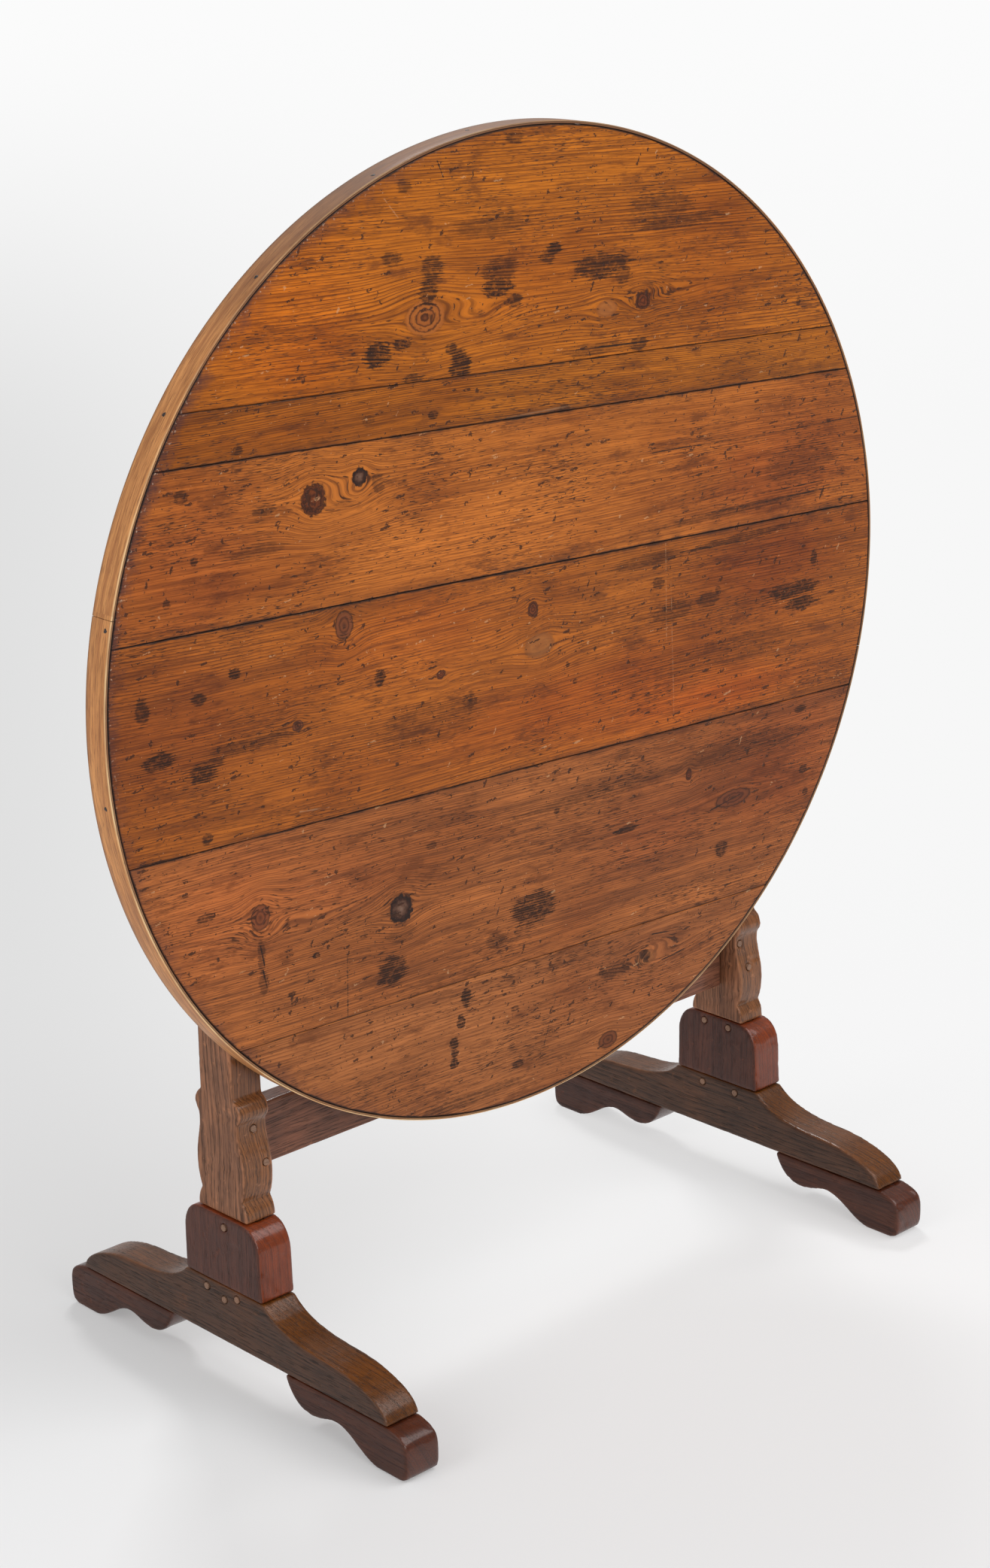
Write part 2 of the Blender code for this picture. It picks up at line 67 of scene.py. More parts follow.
class Graph:
    """A material's nodes. Numbers and sockets mix freely as inputs, and each call gives an output socket."""

    def __init__(self, name):
        self.material = bpy.data.materials.new(name)
        self.material.use_nodes = True
        self.nodes = self.material.node_tree.nodes
        self.links = self.material.node_tree.links
        self.nodes.clear()

    def make(self, kind, values=(), **settings):
        node = self.nodes.new("ShaderNode" + kind)
        for name, value in settings.items():
            setattr(node, name, value)
        for key, value in dict(values).items():
            self.feed(node.inputs[key], value)
        return node

    def feed(self, socket, value):
        if isinstance(value, bpy.types.NodeSocket):
            self.links.new(value, socket)
        elif socket.type == "RGBA" and len(value) == 3:
            socket.default_value = (*value, 1)
        else:
            socket.default_value = value

    def math(self, operation, a, b=0.0):
        return self.make("Math", {0: a, 1: b}, operation=operation).outputs[0]

    def add(self, *values):
        total = values[0]
        for value in values[1:]:
            total = self.math("ADD", total, value)
        return total

    def times(self, *values):
        total = values[0]
        for value in values[1:]:
            total = self.math("MULTIPLY", total, value)
        return total

    def less(self, a, b):
        return self.math("SUBTRACT", a, b)

    def most(self, a, b):
        return self.math("MAXIMUM", a, b)

    def split(self, vector):
        return list(self.make("SeparateXYZ", {0: vector}).outputs)

    def join(self, x=0.0, y=0.0, z=0.0):
        return self.make("CombineXYZ", {0: x, 1: y, 2: z}).outputs[0]

    def noise(self, vector, scale=1.0, detail=2.0, roughness=0.5):
        values = {"Vector": vector, "Scale": scale, "Detail": detail, "Roughness": roughness}
        return self.make("TexNoise", values).outputs["Fac"]

    def cells(self, places, counts, **settings):
        """Noise with its own number of cells a metre along each of these places."""
        return self.noise(self.join(*(self.times(*pair) for pair in zip(places, counts))), **settings)

    def noise_1d(self, value, scale, detail=1.0):
        values = {"W": value, "Scale": scale, "Detail": detail}
        return self.make("TexNoise", values, noise_dimensions="1D").outputs["Fac"]

    def map(self, value, low, high, to_low=0.0, to_high=1.0):
        """An eased step from one range to another, held at its ends."""
        values = {0: value, 1: low, 2: high, 3: to_low, 4: to_high}
        return self.make("MapRange", values, interpolation_type="SMOOTHSTEP", clamp=True).outputs[0]

    def ramp(self, value, stops):
        node = self.make("ValToRGB", {0: value})
        elements = node.color_ramp.elements
        while len(elements) < len(stops):
            elements.new(0.5)
        for element, (place, colour) in zip(elements, stops):
            element.position = place
            element.color = (*colour, 1) if hasattr(colour, "__len__") else (colour, colour, colour, 1)
        return node.outputs[0]

    def mix(self, factor, a, b, blend="MIX"):
        node = self.make("Mix", data_type="RGBA", blend_type=blend)
        self.feed(node.inputs[0], factor)
        self.feed(node.inputs[6], a)
        self.feed(node.inputs[7], b)
        return node.outputs[2]

    def paint(self, mask, colour, blend="MIX"):
        """Lays a colour over the graph's own colour so far, where the mask shows it."""
        self.colour = self.mix(mask, self.colour, colour, blend)

    def length(self, *parts):
        """The length of a flat vector, as its squares' root."""
        return self.math("SQRT", self.add(*(self.times(part, part) for part in parts)))

    def surface(self, roughness, height, strength, distance, **sockets):
        """Closes the graph with a bumped Principled shader of its own colour."""
        bump = self.make("Bump", {"Height": height, "Strength": strength, "Distance": distance})
        shader = self.make("BsdfPrincipled", {"Base Color": self.colour, "Roughness": roughness})
        self.links.new(bump.outputs[0], shader.inputs["Normal"])
        for name, value in sockets.items():
            self.feed(shader.inputs[name.replace("_", " ").title().replace("Ior", "IOR")], value)
        output = self.make("OutputMaterial")
        self.links.new(shader.outputs[0], output.inputs[0])
        return self.material


# Pine

# What each board looks like: early and late wood, ring spacing in metres, how strong its rings are, and
# its marks. A knot is (along, across, half length, half width, kind) and a stain is (along, across, half
# length, half width, dark).
BOARDS = {
    6: {
        "early": (0.5, 0.142, 0.008), "late": (0.16, 0.04, 0.005), "spacing": 0.0031, "rings": 1.0,
        "knots": [(-0.13, 0.319, 0.026, 0.018, "eye"), (-0.067, 0.319, 0.034, 0.015, "swirl"),
                  (0.149, 0.302, 0.012, 0.01, "dark"), (0.19, 0.306, 0.04, 0.01, "swirl"),
                  (0.1, 0.3, 0.016, 0.009, "pale")],
        "stains": [(-0.187, 0.292, 0.015, 0.011, 0.95), (-0.158, 0.299, 0.01, 0.005, 0.8),
                   (-0.089, 0.271, 0.012, 0.014, 0.9), (-0.099, 0.288, 0.007, 0.005, 0.8),
                   (-0.121, 0.362, 0.012, 0.012, 0.75), (-0.126, 0.342, 0.009, 0.012, 0.8),
                   (-0.169, 0.375, 0.012, 0.006, 0.7), (-0.041, 0.336, 0.018, 0.01, 1.0),
                   (-0.039, 0.35, 0.02, 0.012, 0.6), (-0.02, 0.321, 0.01, 0.006, 0.75),
                   (0.03, 0.364, 0.01, 0.005, 0.95), (0.022, 0.356, 0.009, 0.006, 0.7),
                   (0.093, 0.341, 0.036, 0.011, 0.8), (0.121, 0.331, 0.01, 0.01, 0.6),
                   (0.174, 0.388, 0.04, 0.014, 0.45), (0.2, 0.373, 0.06, 0.006, 0.55),
                   (0.144, 0.261, 0.012, 0.006, 0.75), (0.09, 0.263, 0.04, 0.005, 0.45),
                   (-0.153, 0.437, 0.008, 0.006, 0.6), (-0.052, 0.393, 0.04, 0.01, 0.4),
                   (-0.019, 0.468, 0.01, 0.005, 0.6), (-0.144, 0.264, 0.012, 0.006, 0.7),
                   (0.374, 0.275, 0.003, 0.005, 0.7)],
    },
    5: {
        "early": (0.44, 0.126, 0.007), "late": (0.14, 0.036, 0.005), "spacing": 0.002, "rings": 1.0,
        "knots": [],
        "stains": [(-0.122, 0.23, 0.006, 0.004, 0.85), (-0.347, 0.231, 0.006, 0.004, 0.8),
                   (-0.2, 0.236, 0.008, 0.004, 0.5), (0.044, 0.212, 0.006, 0.005, 0.7),
                   (-0.25, 0.226, 0.02, 0.003, 0.4)],
    },
    4: {
        "early": (0.51, 0.15, 0.02), "late": (0.2, 0.052, 0.009), "spacing": 0.0024, "rings": 0.8,
        "knots": [(-0.265, 0.175, 0.016, 0.016, "dark"), (-0.225, 0.176, 0.03, 0.02, "swirl"),
                  (-0.211, 0.187, 0.01, 0.009, "grey")],
        "stains": [(-0.409, 0.2, 0.008, 0.006, 0.7), (-0.189, 0.179, 0.007, 0.01, 0.55),
                   (-0.32, 0.174, 0.012, 0.005, 0.6), (0.145, 0.207, 0.008, 0.004, 0.5),
                   (0.384, 0.11, 0.05, 0.02, 0.35), (-0.398, 0.142, 0.004, 0.004, 0.8),
                   (-0.429, 0.111, 0.004, 0.004, 0.7), (-0.33, 0.14, 0.03, 0.006, 0.4),
                   (0.3, 0.075, 0.12, 0.004, 0.5)],
    },
    3: {
        "early": (0.43, 0.118, 0.012), "late": (0.155, 0.04, 0.008), "spacing": 0.0027, "rings": 0.95,
        "knots": [(-0.233, 0.055, 0.012, 0.015, "ringed"), (0.002, 0.025, 0.008, 0.009, "dark"),
                  (0.01, -0.012, 0.022, 0.014, "pale"), (-0.29, -0.027, 0.007, 0.006, "ringed"),
                  (-0.117, -0.015, 0.006, 0.005, "dark")],
        "stains": [(-0.399, 0.02, 0.008, 0.005, 0.8), (-0.359, 0.036, 0.006, 0.005, 0.9),
                   (-0.46, 0.022, 0.007, 0.011, 0.75), (-0.445, -0.026, 0.016, 0.007, 0.95),
                   (-0.398, -0.047, 0.014, 0.009, 0.9), (-0.386, -0.04, 0.012, 0.005, 0.7),
                   (-0.34, -0.032, 0.05, 0.006, 0.5), (-0.192, -0.002, 0.006, 0.008, 0.85),
                   (-0.081, -0.048, 0.009, 0.008, 0.65), (-0.396, -0.108, 0.006, 0.005, 0.8),
                   (-0.46, -0.118, 0.022, 0.003, 0.85), (0.378, -0.025, 0.034, 0.008, 0.85),
                   (0.39, -0.041, 0.024, 0.006, 0.85), (0.351, -0.022, 0.012, 0.006, 0.7),
                   (0.246, -0.011, 0.016, 0.008, 0.6), (0.195, -0.014, 0.03, 0.009, 0.55),
                   (0.174, 0.019, 0.008, 0.006, 0.65), (0.408, 0.004, 0.005, 0.007, 0.8),
                   (0.261, -0.003, 0.004, 0.004, 0.8), (0.3, 0.045, 0.07, 0.004, 0.6),
                   (0.16, 0.045, 0.05, 0.006, 0.45), (-0.13, -0.06, 0.06, 0.022, 0.35),
                   (0.28, -0.07, 0.11, 0.014, 0.35), (0.058, -0.058, 0.003, 0.003, 0.8),
                   (0.048, -0.039, 0.003, 0.003, 0.8)],
    },
    2: {
        "early": (0.405, 0.122, 0.028), "late": (0.15, 0.044, 0.013), "spacing": 0.0024, "rings": 0.9,
        "knots": [(-0.34, -0.197, 0.012, 0.014, "ringed"), (-0.172, -0.233, 0.017, 0.016, "grey"),
                  (0.222, -0.191, 0.005, 0.007, "dark"), (-0.29, -0.215, 0.04, 0.012, "swirl"),
                  (0.29, -0.232, 0.03, 0.01, "ringed")],
        "stains": [(-0.401, -0.181, 0.01, 0.004, 0.7), (0.393, -0.157, 0.008, 0.004, 0.8),
                   (0.001, -0.278, 0.028, 0.016, 1.0), (-0.184, -0.292, 0.017, 0.015, 1.0),
                   (0.4, -0.226, 0.006, 0.005, 0.8), (0.404, -0.252, 0.004, 0.004, 0.7),
                   (0.273, -0.284, 0.009, 0.008, 0.85), (0.13, -0.228, 0.016, 0.004, 0.7),
                   (0.033, -0.185, 0.004, 0.003, 0.8), (-0.132, -0.18, 0.006, 0.003, 0.6),
                   (-0.34, -0.233, 0.004, 0.018, 0.6), (-0.338, -0.262, 0.006, 0.01, 0.5),
                   (-0.276, -0.251, 0.004, 0.003, 0.9), (-0.306, -0.281, 0.004, 0.003, 0.8),
                   (0.1, -0.18, 0.11, 0.006, 0.4), (-0.05, -0.298, 0.012, 0.008, 0.5),
                   (0.3, -0.18, 0.09, 0.012, 0.4), (-0.172, -0.258, 0.016, 0.008, 0.35)],
    },
    1: {
        "early": (0.42, 0.138, 0.038), "late": (0.185, 0.056, 0.016), "spacing": 0.003, "rings": 0.75,
        "knots": [(0.106, -0.45, 0.015, 0.01, "ringed"), (0.199, -0.37, 0.045, 0.016, "swirl"),
                  (0.161, -0.375, 0.018, 0.009, "pale")],
        "stains": [(-0.09, -0.347, 0.006, 0.008, 1.0), (-0.097, -0.371, 0.005, 0.007, 1.0),
                   (-0.107, -0.391, 0.006, 0.006, 1.0), (-0.106, -0.401, 0.005, 0.005, 1.0),
                   (-0.107, -0.412, 0.005, 0.005, 1.0), (-0.021, -0.438, 0.008, 0.004, 0.8),
                   (-0.025, -0.377, 0.006, 0.003, 0.7), (0.117, -0.376, 0.022, 0.008, 0.6),
                   (0.161, -0.372, 0.007, 0.005, 0.7), (-0.08, -0.455, 0.06, 0.006, 0.45),
                   (0.096, -0.372, 0.003, 0.005, 0.8)],
    },
}
SEAMS = {1: 0.4, 2: 0.55, 3: 1.0, 4: 0.75, 5: 0.38}  # how dark the gap above each board is
# Broad changes of tone: (along, across, half length, half width, colour the wood is multiplied by)
TONES = {
    6: [(-0.29, 0.33, 0.1, 0.07, (1.3, 1.18, 0.9)), (0.25, 0.34, 0.12, 0.08, (0.8, 0.72, 0.7)),
        (0.000, 0.34, 0.12, 0.05, (0.88, 0.8, 0.8))],
    5: [(-0.3, 0.235, 0.14, 0.04, (0.88, 0.8, 0.8))],
    4: [(-0.41, 0.14, 0.11, 0.08, (0.8, 0.68, 0.75)), (0.35, 0.11, 0.16, 0.07, (0.72, 0.58, 0.6)),
        (-0.06, 0.11, 0.16, 0.05, (1.12, 1.1, 1.1))],
    3: [(-0.43, 0.000, 0.1, 0.07, (0.76, 0.66, 0.75)), (0.34, 0.01, 0.13, 0.06, (0.66, 0.52, 0.55)),
        (-0.15, 0.03, 0.11, 0.04, (1.22, 1.14, 1.1)), (0.1, -0.08, 0.24, 0.04, (1.06, 0.88, 0.7)),
        (0.26, -0.118, 0.14, 0.022, (1.16, 0.92, 0.7))],
    2: [(-0.38, -0.18, 0.09, 0.07, (1.22, 1.12, 1.1)), (0.17, -0.24, 0.09, 0.05, (0.78, 0.68, 0.7)),
        (0.37, -0.2, 0.12, 0.09, (0.84, 0.68, 0.6)), (-0.24, -0.19, 0.08, 0.03, (1.1, 1.05, 1.1))],
    1: [(0.15, -0.4, 0.12, 0.07, (0.92, 0.86, 0.85))],
}
# Cracks, scratches and tears: (along, across, along, across, half width), dark if the width is positive
CRACKS = {
    6: [(-0.424, 0.25, -0.3, 0.262, 0.0006), (0.06, 0.266, 0.15, 0.262, 0.0007),
        (-0.176, 0.428, -0.16, 0.41, -0.0004), (-0.113, 0.455, -0.106, 0.44, 0.0005)],
    5: [(0.34, 0.247, 0.425, 0.246, 0.0005), (-0.03, 0.214, 0.06, 0.214, -0.0007)],
    4: [(0.164, 0.152, 0.3, 0.147, 0.0004), (0.3, 0.147, 0.47, 0.144, 0.0005),
        (0.25, 0.078, 0.46, 0.074, 0.0006), (0.3, 0.086, 0.42, 0.084, 0.0004),
        (-0.16, 0.069, -0.06, 0.068, 0.0015)],
    3: [(-0.48, -0.117, -0.43, -0.121, 0.001), (0.184, 0.058, 0.187, -0.05, -0.0003),
        (0.192, 0.02, 0.199, -0.125, -0.0003), (0.193, -0.122, 0.205, -0.131, 0.0004),
        (-0.29, -0.108, -0.256, -0.112, -0.0006), (0.205, 0.045, 0.33, 0.04, 0.0006)],
    2: [(-0.341, -0.224, -0.337, -0.244, 0.0007), (-0.339, -0.248, -0.335, -0.266, 0.0007),
        (-0.239, -0.262, -0.24, -0.322, 0.0004), (0.255, -0.238, 0.3, -0.231, 0.0007),
        (0.112, -0.228, 0.148, -0.228, 0.001)],
    1: [(0.031, -0.383, 0.015, -0.428, 0.0004), (-0.107, -0.397, -0.107, -0.414, 0.0005),
        (0.17, -0.352, 0.215, -0.358, 0.0005), (0.17, -0.386, 0.228, -0.38, 0.0005)],
}
# Dirt and wear on the pine
STAIN = (0.024, 0.009, 0.005)
GRIME = (0.07, 0.027, 0.026)
BLOTCH = (0.115, 0.03, 0.007)
PORE_DIRT = (0.045, 0.014, 0.005)
NICK_DIRT = (0.04, 0.013, 0.005)
CRACK_DARK = (0.016, 0.008, 0.006)
CRACK_PALE = (0.6, 0.34, 0.18)
FRESH_NICK = (0.62, 0.36, 0.18)
FRESH_CHIP = (0.5, 0.34, 0.24)
SEAM_SMEAR = (0.085, 0.026, 0.01)
SEAM_GAP = (0.018, 0.01, 0.008)
RIM_GAP = (0.016, 0.009, 0.008)
BARE_BACK = (0.15, 0.085, 0.048)

# Small ticks: cells a metre along and across the grain, how far they turn, and how many are kept
TICKS = ((46.0, 190.0, 0.1, 1.0), (110.0, 130.0, 0.5, 0.5), (170.0, 60.0, -0.25, 0.16),
         (300.0, 330.0, 0.2, 0.6))

# The colours of each kind of knot, from its heart to its rim
KNOTS = {
    "dark": [(0.0, (0.2, 0.044, 0.009)), (0.25, (0.06, 0.016, 0.006)), (0.4, (0.17, 0.04, 0.009)),
             (0.62, (0.035, 0.011, 0.005)), (0.74, (0.12, 0.03, 0.008)), (0.86, (0.022, 0.008, 0.004)),
             (1.0, (0.07, 0.02, 0.007))],
    "grey": [(0.0, (0.19, 0.105, 0.07)), (0.3, (0.12, 0.056, 0.034)), (0.52, (0.05, 0.018, 0.01)),
             (0.72, (0.018, 0.008, 0.006)), (1.0, (0.03, 0.011, 0.006))],
    "ringed": [(0.0, (0.06, 0.02, 0.009)), (0.3, (0.17, 0.048, 0.015)), (0.45, (0.075, 0.022, 0.009)),
               (0.6, (0.19, 0.054, 0.017)), (0.78, (0.15, 0.044, 0.014)), (0.86, (0.022, 0.009, 0.005)),
               (1.0, (0.04, 0.014, 0.007))],
    "eye": [(0.0, (0.2, 0.055, 0.014)), (0.16, (0.055, 0.016, 0.006)), (0.24, (0.34, 0.1, 0.018)),
            (0.36, (0.3, 0.085, 0.015)), (0.43, (0.08, 0.022, 0.007)), (0.5, (0.38, 0.115, 0.018)),
            (0.63, (0.33, 0.095, 0.016)), (0.7, (0.07, 0.02, 0.007)), (0.77, (0.4, 0.12, 0.018)),
            (0.88, (0.34, 0.1, 0.016)), (0.95, (0.06, 0.018, 0.006)), (1.0, (0.25, 0.07, 0.012))],
    "pale": [(0.0, (0.3, 0.105, 0.03)), (0.5, (0.4, 0.15, 0.042)), (0.8, (0.27, 0.09, 0.024)),
             (1.0, (0.36, 0.13, 0.036))],
}


def top_oval():
    """The boards' oval in the top's frame: half length, half width, and the heights of its back and face."""
    inverse = PIVOT.inverted()
    every = np.array([inverse @ v.co for n in BOARDS for v in NODES[f"top_board_{n}"].data.vertices])
    return np.abs(every[:, 0]).max(), np.abs(every[:, 1]).max(), every[:, 2].min(), every[:, 2].max()


OVAL_LENGTH, OVAL_WIDTH, BACK, FACE = top_oval()


def span(number):
    """The places across the boards where this one starts and ends."""
    turned = Matrix.Rotation(-SKEW, 4, "Z") @ PIVOT.inverted()
    places = [(turned @ v.co).y for v in NODES[f"top_board_{number}"].data.vertices]
    return min(places), max(places)


def shade(colour, amount):
    return tuple(amount * part for part in colour)


class Pine(Graph):
    """One board's waxed pine. Each step paints over the colour so far and leaves its masks for the next."""

    def __init__(self, number):
        super().__init__(f"waxed_pine_{number}")
        self.number = number
        self.look = BOARDS[number]
        self.seed = number * 7.3
        self.x, self.y, self.z = self.split(self.make("TexCoord").outputs["Object"])
        self.along = self.add(self.times(self.x, math.cos(SKEW)), self.times(self.y, math.sin(SKEW)))
        self.across = self.add(self.times(self.y, math.cos(SKEW)), self.times(self.x, -math.sin(SKEW)))
        self.flat = self.join(self.along, self.across, self.seed)

    def stretched(self, along, across, shift=0, **settings):
        """Noise with this many cells a metre along the board and across it."""
        return self.cells((self.along, self.across, self.seed + shift), (along, across, 1.0), **settings)

    def grained(self, along, across, shift=0, **settings):
        """The same, but following the rings, so that it bends round the knots with them."""
        return self.cells((self.along, self.level, self.seed + shift), (along, across, 1.0), **settings)

    def ellipse(self, x, y, half_long, half_wide):
        """The offsets from a mark's middle, in its own half sizes."""
        dx, dy = self.less(self.x, x), self.less(self.y, y)
        return self.times(dx, 1 / half_long), self.times(dy, 1 / half_wide)


def bend_grain(g):
    """The rings' level at each place, pulled round the knots, and the knots' own mask and colour."""
    slow = g.stretched(1.6, 7.0, detail=1.0)
    wavy = g.stretched(11.0, 30.0, detail=1.0)
    level = g.add(g.across, g.times(g.less(slow, 0.5), 0.03))
    level = g.add(level, g.times(g.less(wavy, 0.5), 0.0028), g.times(g.z, 0.8))
    g.knot, g.knot_colour = 0.0, None
    rough_edge = g.times(g.less(g.noise(g.flat, scale=210.0, detail=3.0), 0.5), 0.8)
    for x, y, half_long, half_wide, kind in g.look["knots"]:
        swirl = kind == "swirl"
        far = g.length(*g.ellipse(x, y, half_long, half_wide))
        pull = g.math("EXPONENT", g.times(far, far, -0.6 if swirl else -0.32))
        aside = g.less(g.y, y)
        level = g.add(level, g.times(aside, pull, -0.7 if swirl else -0.85))
        if swirl:
            level = g.add(level, g.times(pull, 0.006))
            continue
        edge = g.add(far, rough_edge if kind in ("dark", "grey") else g.times(rough_edge, 0.3))
        inside = g.map(edge, 1.0, 0.8)
        if kind == "pale":
            inside = g.times(inside, 0.7)
        tone = g.ramp(edge, KNOTS[kind])
        g.knot_colour = g.mix(inside, g.knot_colour, tone) if g.knot_colour else tone
        g.knot = g.most(g.knot, inside)
    g.level = level


def draw_rings(g):
    """Growth rings, fibres and bands in the board's two colours, with the knots set among them."""
    drift = g.noise_1d(g.add(g.level, g.seed), 75.0, 2.0)
    phase = g.add(g.times(g.level, 1 / g.look["spacing"]), g.times(drift, 1.7))
    ring = g.ramp(g.math("FRACT", phase), [(0.0, 0.45), (0.07, 0.0), (0.48, 0.04), (0.7, 0.3), (0.86, 1.0),
                                           (0.96, 1.0), (1.0, 0.45)])
    fade = g.stretched(4.0, 34.0, 3)
    g.ring = g.times(ring, g.map(fade, 0.28, 0.62, 0.35, 1.0), g.look["rings"])
    g.fibre = g.grained(38.0, 1450.0, detail=3.0, roughness=0.6)
    g.streak = g.grained(11.0, 330.0, 1, detail=3.0, roughness=0.62)
    band = g.grained(3.0, 62.0, 2)
    early, late = g.look["early"], g.look["late"]
    g.colour = g.mix(g.ring, early, late)
    g.paint(g.map(g.streak, 0.5, 0.68, 0.0, 0.62), late)
    g.paint(g.map(band, 0.45, 0.72, 0.0, 0.45), late)
    g.paint(g.map(g.fibre, 0.46, 0.68, 0.0, 0.62), shade(late, 0.55))
    g.paint(g.map(g.streak, 0.46, 0.3, 0.0, 0.55), shade(early, 1.28))
    g.mottle = g.stretched(6.0, 11.0, 5, detail=3.0)
    uneven = g.ramp(g.mottle, [(0.25, (0.74, 0.66, 0.58)), (0.5, (1.0, 1.0, 1.0)), (0.75, (1.16, 1.2, 1.24))])
    g.paint(1.0, uneven, "MULTIPLY")
    g.blotch = g.stretched(17.0, 46.0, 9, detail=5.0, roughness=0.7)
    g.paint(g.map(g.blotch, 0.54, 0.68, 0.0, 0.62), BLOTCH)
    if g.knot_colour:
        g.paint(g.knot, g.knot_colour)


def shift_tones(g):
    """The broad redder, darker and paler patches."""
    for x, y, half_long, half_wide, tint in TONES[g.number]:
        dx, dy = g.ellipse(x, y, half_long, half_wide)
        near = g.math("EXPONENT", g.times(g.add(g.times(dx, dx), g.times(dy, dy)), -1.1))
        near = g.times(near, g.map(g.blotch, 0.25, 0.6, 0.75, 1.25))
        g.paint(near, g.mix(1.0, g.colour, tint, "MULTIPLY"))


def fill_pores(g):
    """Dirt in the pores: fine dashes along the grain, thicker in some places."""
    dash = g.grained(95.0, 1050.0, 11, detail=1.5)
    where = g.stretched(9.0, 22.0, 12)
    g.dash = g.map(g.add(dash, g.times(where, 0.4)), 0.82, 0.9)
    g.paint(g.times(g.dash, 0.85), PORE_DIRT)


def stain_face(g):
    """Old stains on the face, which darken the late wood most and so look hatched."""
    torn = g.grained(60.0, 260.0, 6, detail=3.0, roughness=0.65)
    g.ragged = g.add(g.times(torn, 1.15), g.times(g.ring, -0.25))
    stain = 0.0
    for x, y, half_long, half_wide, dark in g.look["stains"]:
        far = g.length(*g.ellipse(x, y, half_long, half_wide))
        far = g.add(far, g.times(g.ragged, 1.3))
        stain = g.most(stain, g.map(far, 1.86, 1.6, 0.0, min(1.0, 1.15 * dark)))
    hatch = g.add(g.ring, g.times(g.fibre, 0.5), g.times(g.streak, 0.5))
    rubbed = g.stretched(150.0, 240.0, 8, detail=3.0, roughness=0.7)
    on_face = g.map(g.z, BACK + 0.008, BACK + 0.014)
    g.stain = g.times(stain, g.map(hatch, 0.34, 0.7, 0.5, 1.0), g.map(rubbed, 0.36, 0.52, 0.5, 1.0), on_face)
    g.paint(g.stain, STAIN)


def crack(g, start, end, width):
    """A mask along one straight crack that wavers and thins out at its ends."""
    run = (end[0] - start[0], end[1] - start[1])
    square = run[0] ** 2 + run[1] ** 2
    dx, dy = g.less(g.x, start[0]), g.less(g.y, start[1])
    share = g.math("DIVIDE", g.add(g.times(dx, run[0]), g.times(dy, run[1])), square)
    held = g.math("MINIMUM", g.most(share, 0.0), 1.0)
    away = g.length(g.less(dx, g.times(held, run[0])), g.less(dy, g.times(held, run[1])))
    away = g.add(away, g.times(g.less(g.ragged, 0.5), 0.0022))
    return g.map(away, width * 1.7, width * 0.6)


def open_cracks(g):
    """The board's own cracks, and the pale scratches among them."""
    for x0, y0, x1, y1, width in CRACKS[g.number]:
        dark = width > 0
        line = g.times(crack(g, (x0, y0), (x1, y1), abs(width)), 0.92 if dark else 0.3)
        line = g.times(line, g.map(g.blotch, 0.38, 0.5, 0.35 if dark else 0.0, 1.0))
        g.paint(line, CRACK_DARK if dark else CRACK_PALE)


def ticks(g, along, across, seed, share, size):
    """A mask of small ticks in random cells: dashes along the grain, a few dots and cuts across it."""
    total = 0.0
    wobble = g.less(g.noise(g.join(along, across, seed), scale=260.0, detail=1.0), 0.5)
    crowd = g.noise(g.join(along, across, seed + 4), scale=7.0, detail=1.0)
    for cells_along, cells_across, turn, keep in TICKS:
        a = g.add(g.times(along, cells_along), g.times(across, cells_along * turn), g.times(wobble, 1.1))
        b = g.add(g.times(across, cells_across), g.times(along, -cells_across * turn * 0.3), wobble)
        cell = g.make("TexVoronoi", {"Vector": g.join(a, b, seed), "Scale": 1.0}, voronoi_dimensions="2D")
        pick = g.split(cell.outputs["Color"])
        chosen = g.math("LESS_THAN", pick[0], g.times(g.map(crowd, 0.35, 0.7, 0.35, 1.8), share * keep))
        reach = g.times(size, g.add(0.35, pick[1]))
        tick = g.times(g.map(g.math("DIVIDE", cell.outputs["Distance"], reach), 1.0, 0.55), chosen)
        total = g.most(total, tick)
    return total


def cut_nicks(g):
    """Nicks and tool marks, most of them dirty and a few of them fresh and pale."""
    g.nick = ticks(g, g.along, g.across, g.seed, 0.1, 0.25)
    g.paint(g.times(g.nick, 0.85), NICK_DIRT)
    fresh = ticks(g, g.add(g.along, 0.37), g.add(g.across, 0.11), g.seed + 2, 0.02, 0.18)
    g.paint(g.times(fresh, 0.45), FRESH_NICK)


def darken_seams(g):
    """Dark gaps, ragged in width, with wax and dirt gathered beside them. The outer boards fit tightly."""
    if g.number in (1, 6):
        return
    low, high = span(g.number)
    ragged = g.stretched(22.0, 1.0, detail=3.0, roughness=0.7)
    for seam, inward, strength in ((low, 1, SEAMS[g.number - 1]), (high, -1, SEAMS[g.number])):
        away = g.times(g.less(g.across, seam), inward)
        smear = g.map(ragged, 0.35, 0.7, 0.05, 0.65)
        g.paint(g.times(g.map(away, 0.01, 0.0), smear, strength), SEAM_SMEAR)
        wide = g.map(ragged, 0.3, 0.75, 0.0008, 0.0014 + 0.0018 * strength)
        dark = g.map(ragged, 0.62, 0.35, 0.95, 0.95 * strength)
        g.paint(g.times(g.map(away, wide, 0.0003), dark), SEAM_GAP)


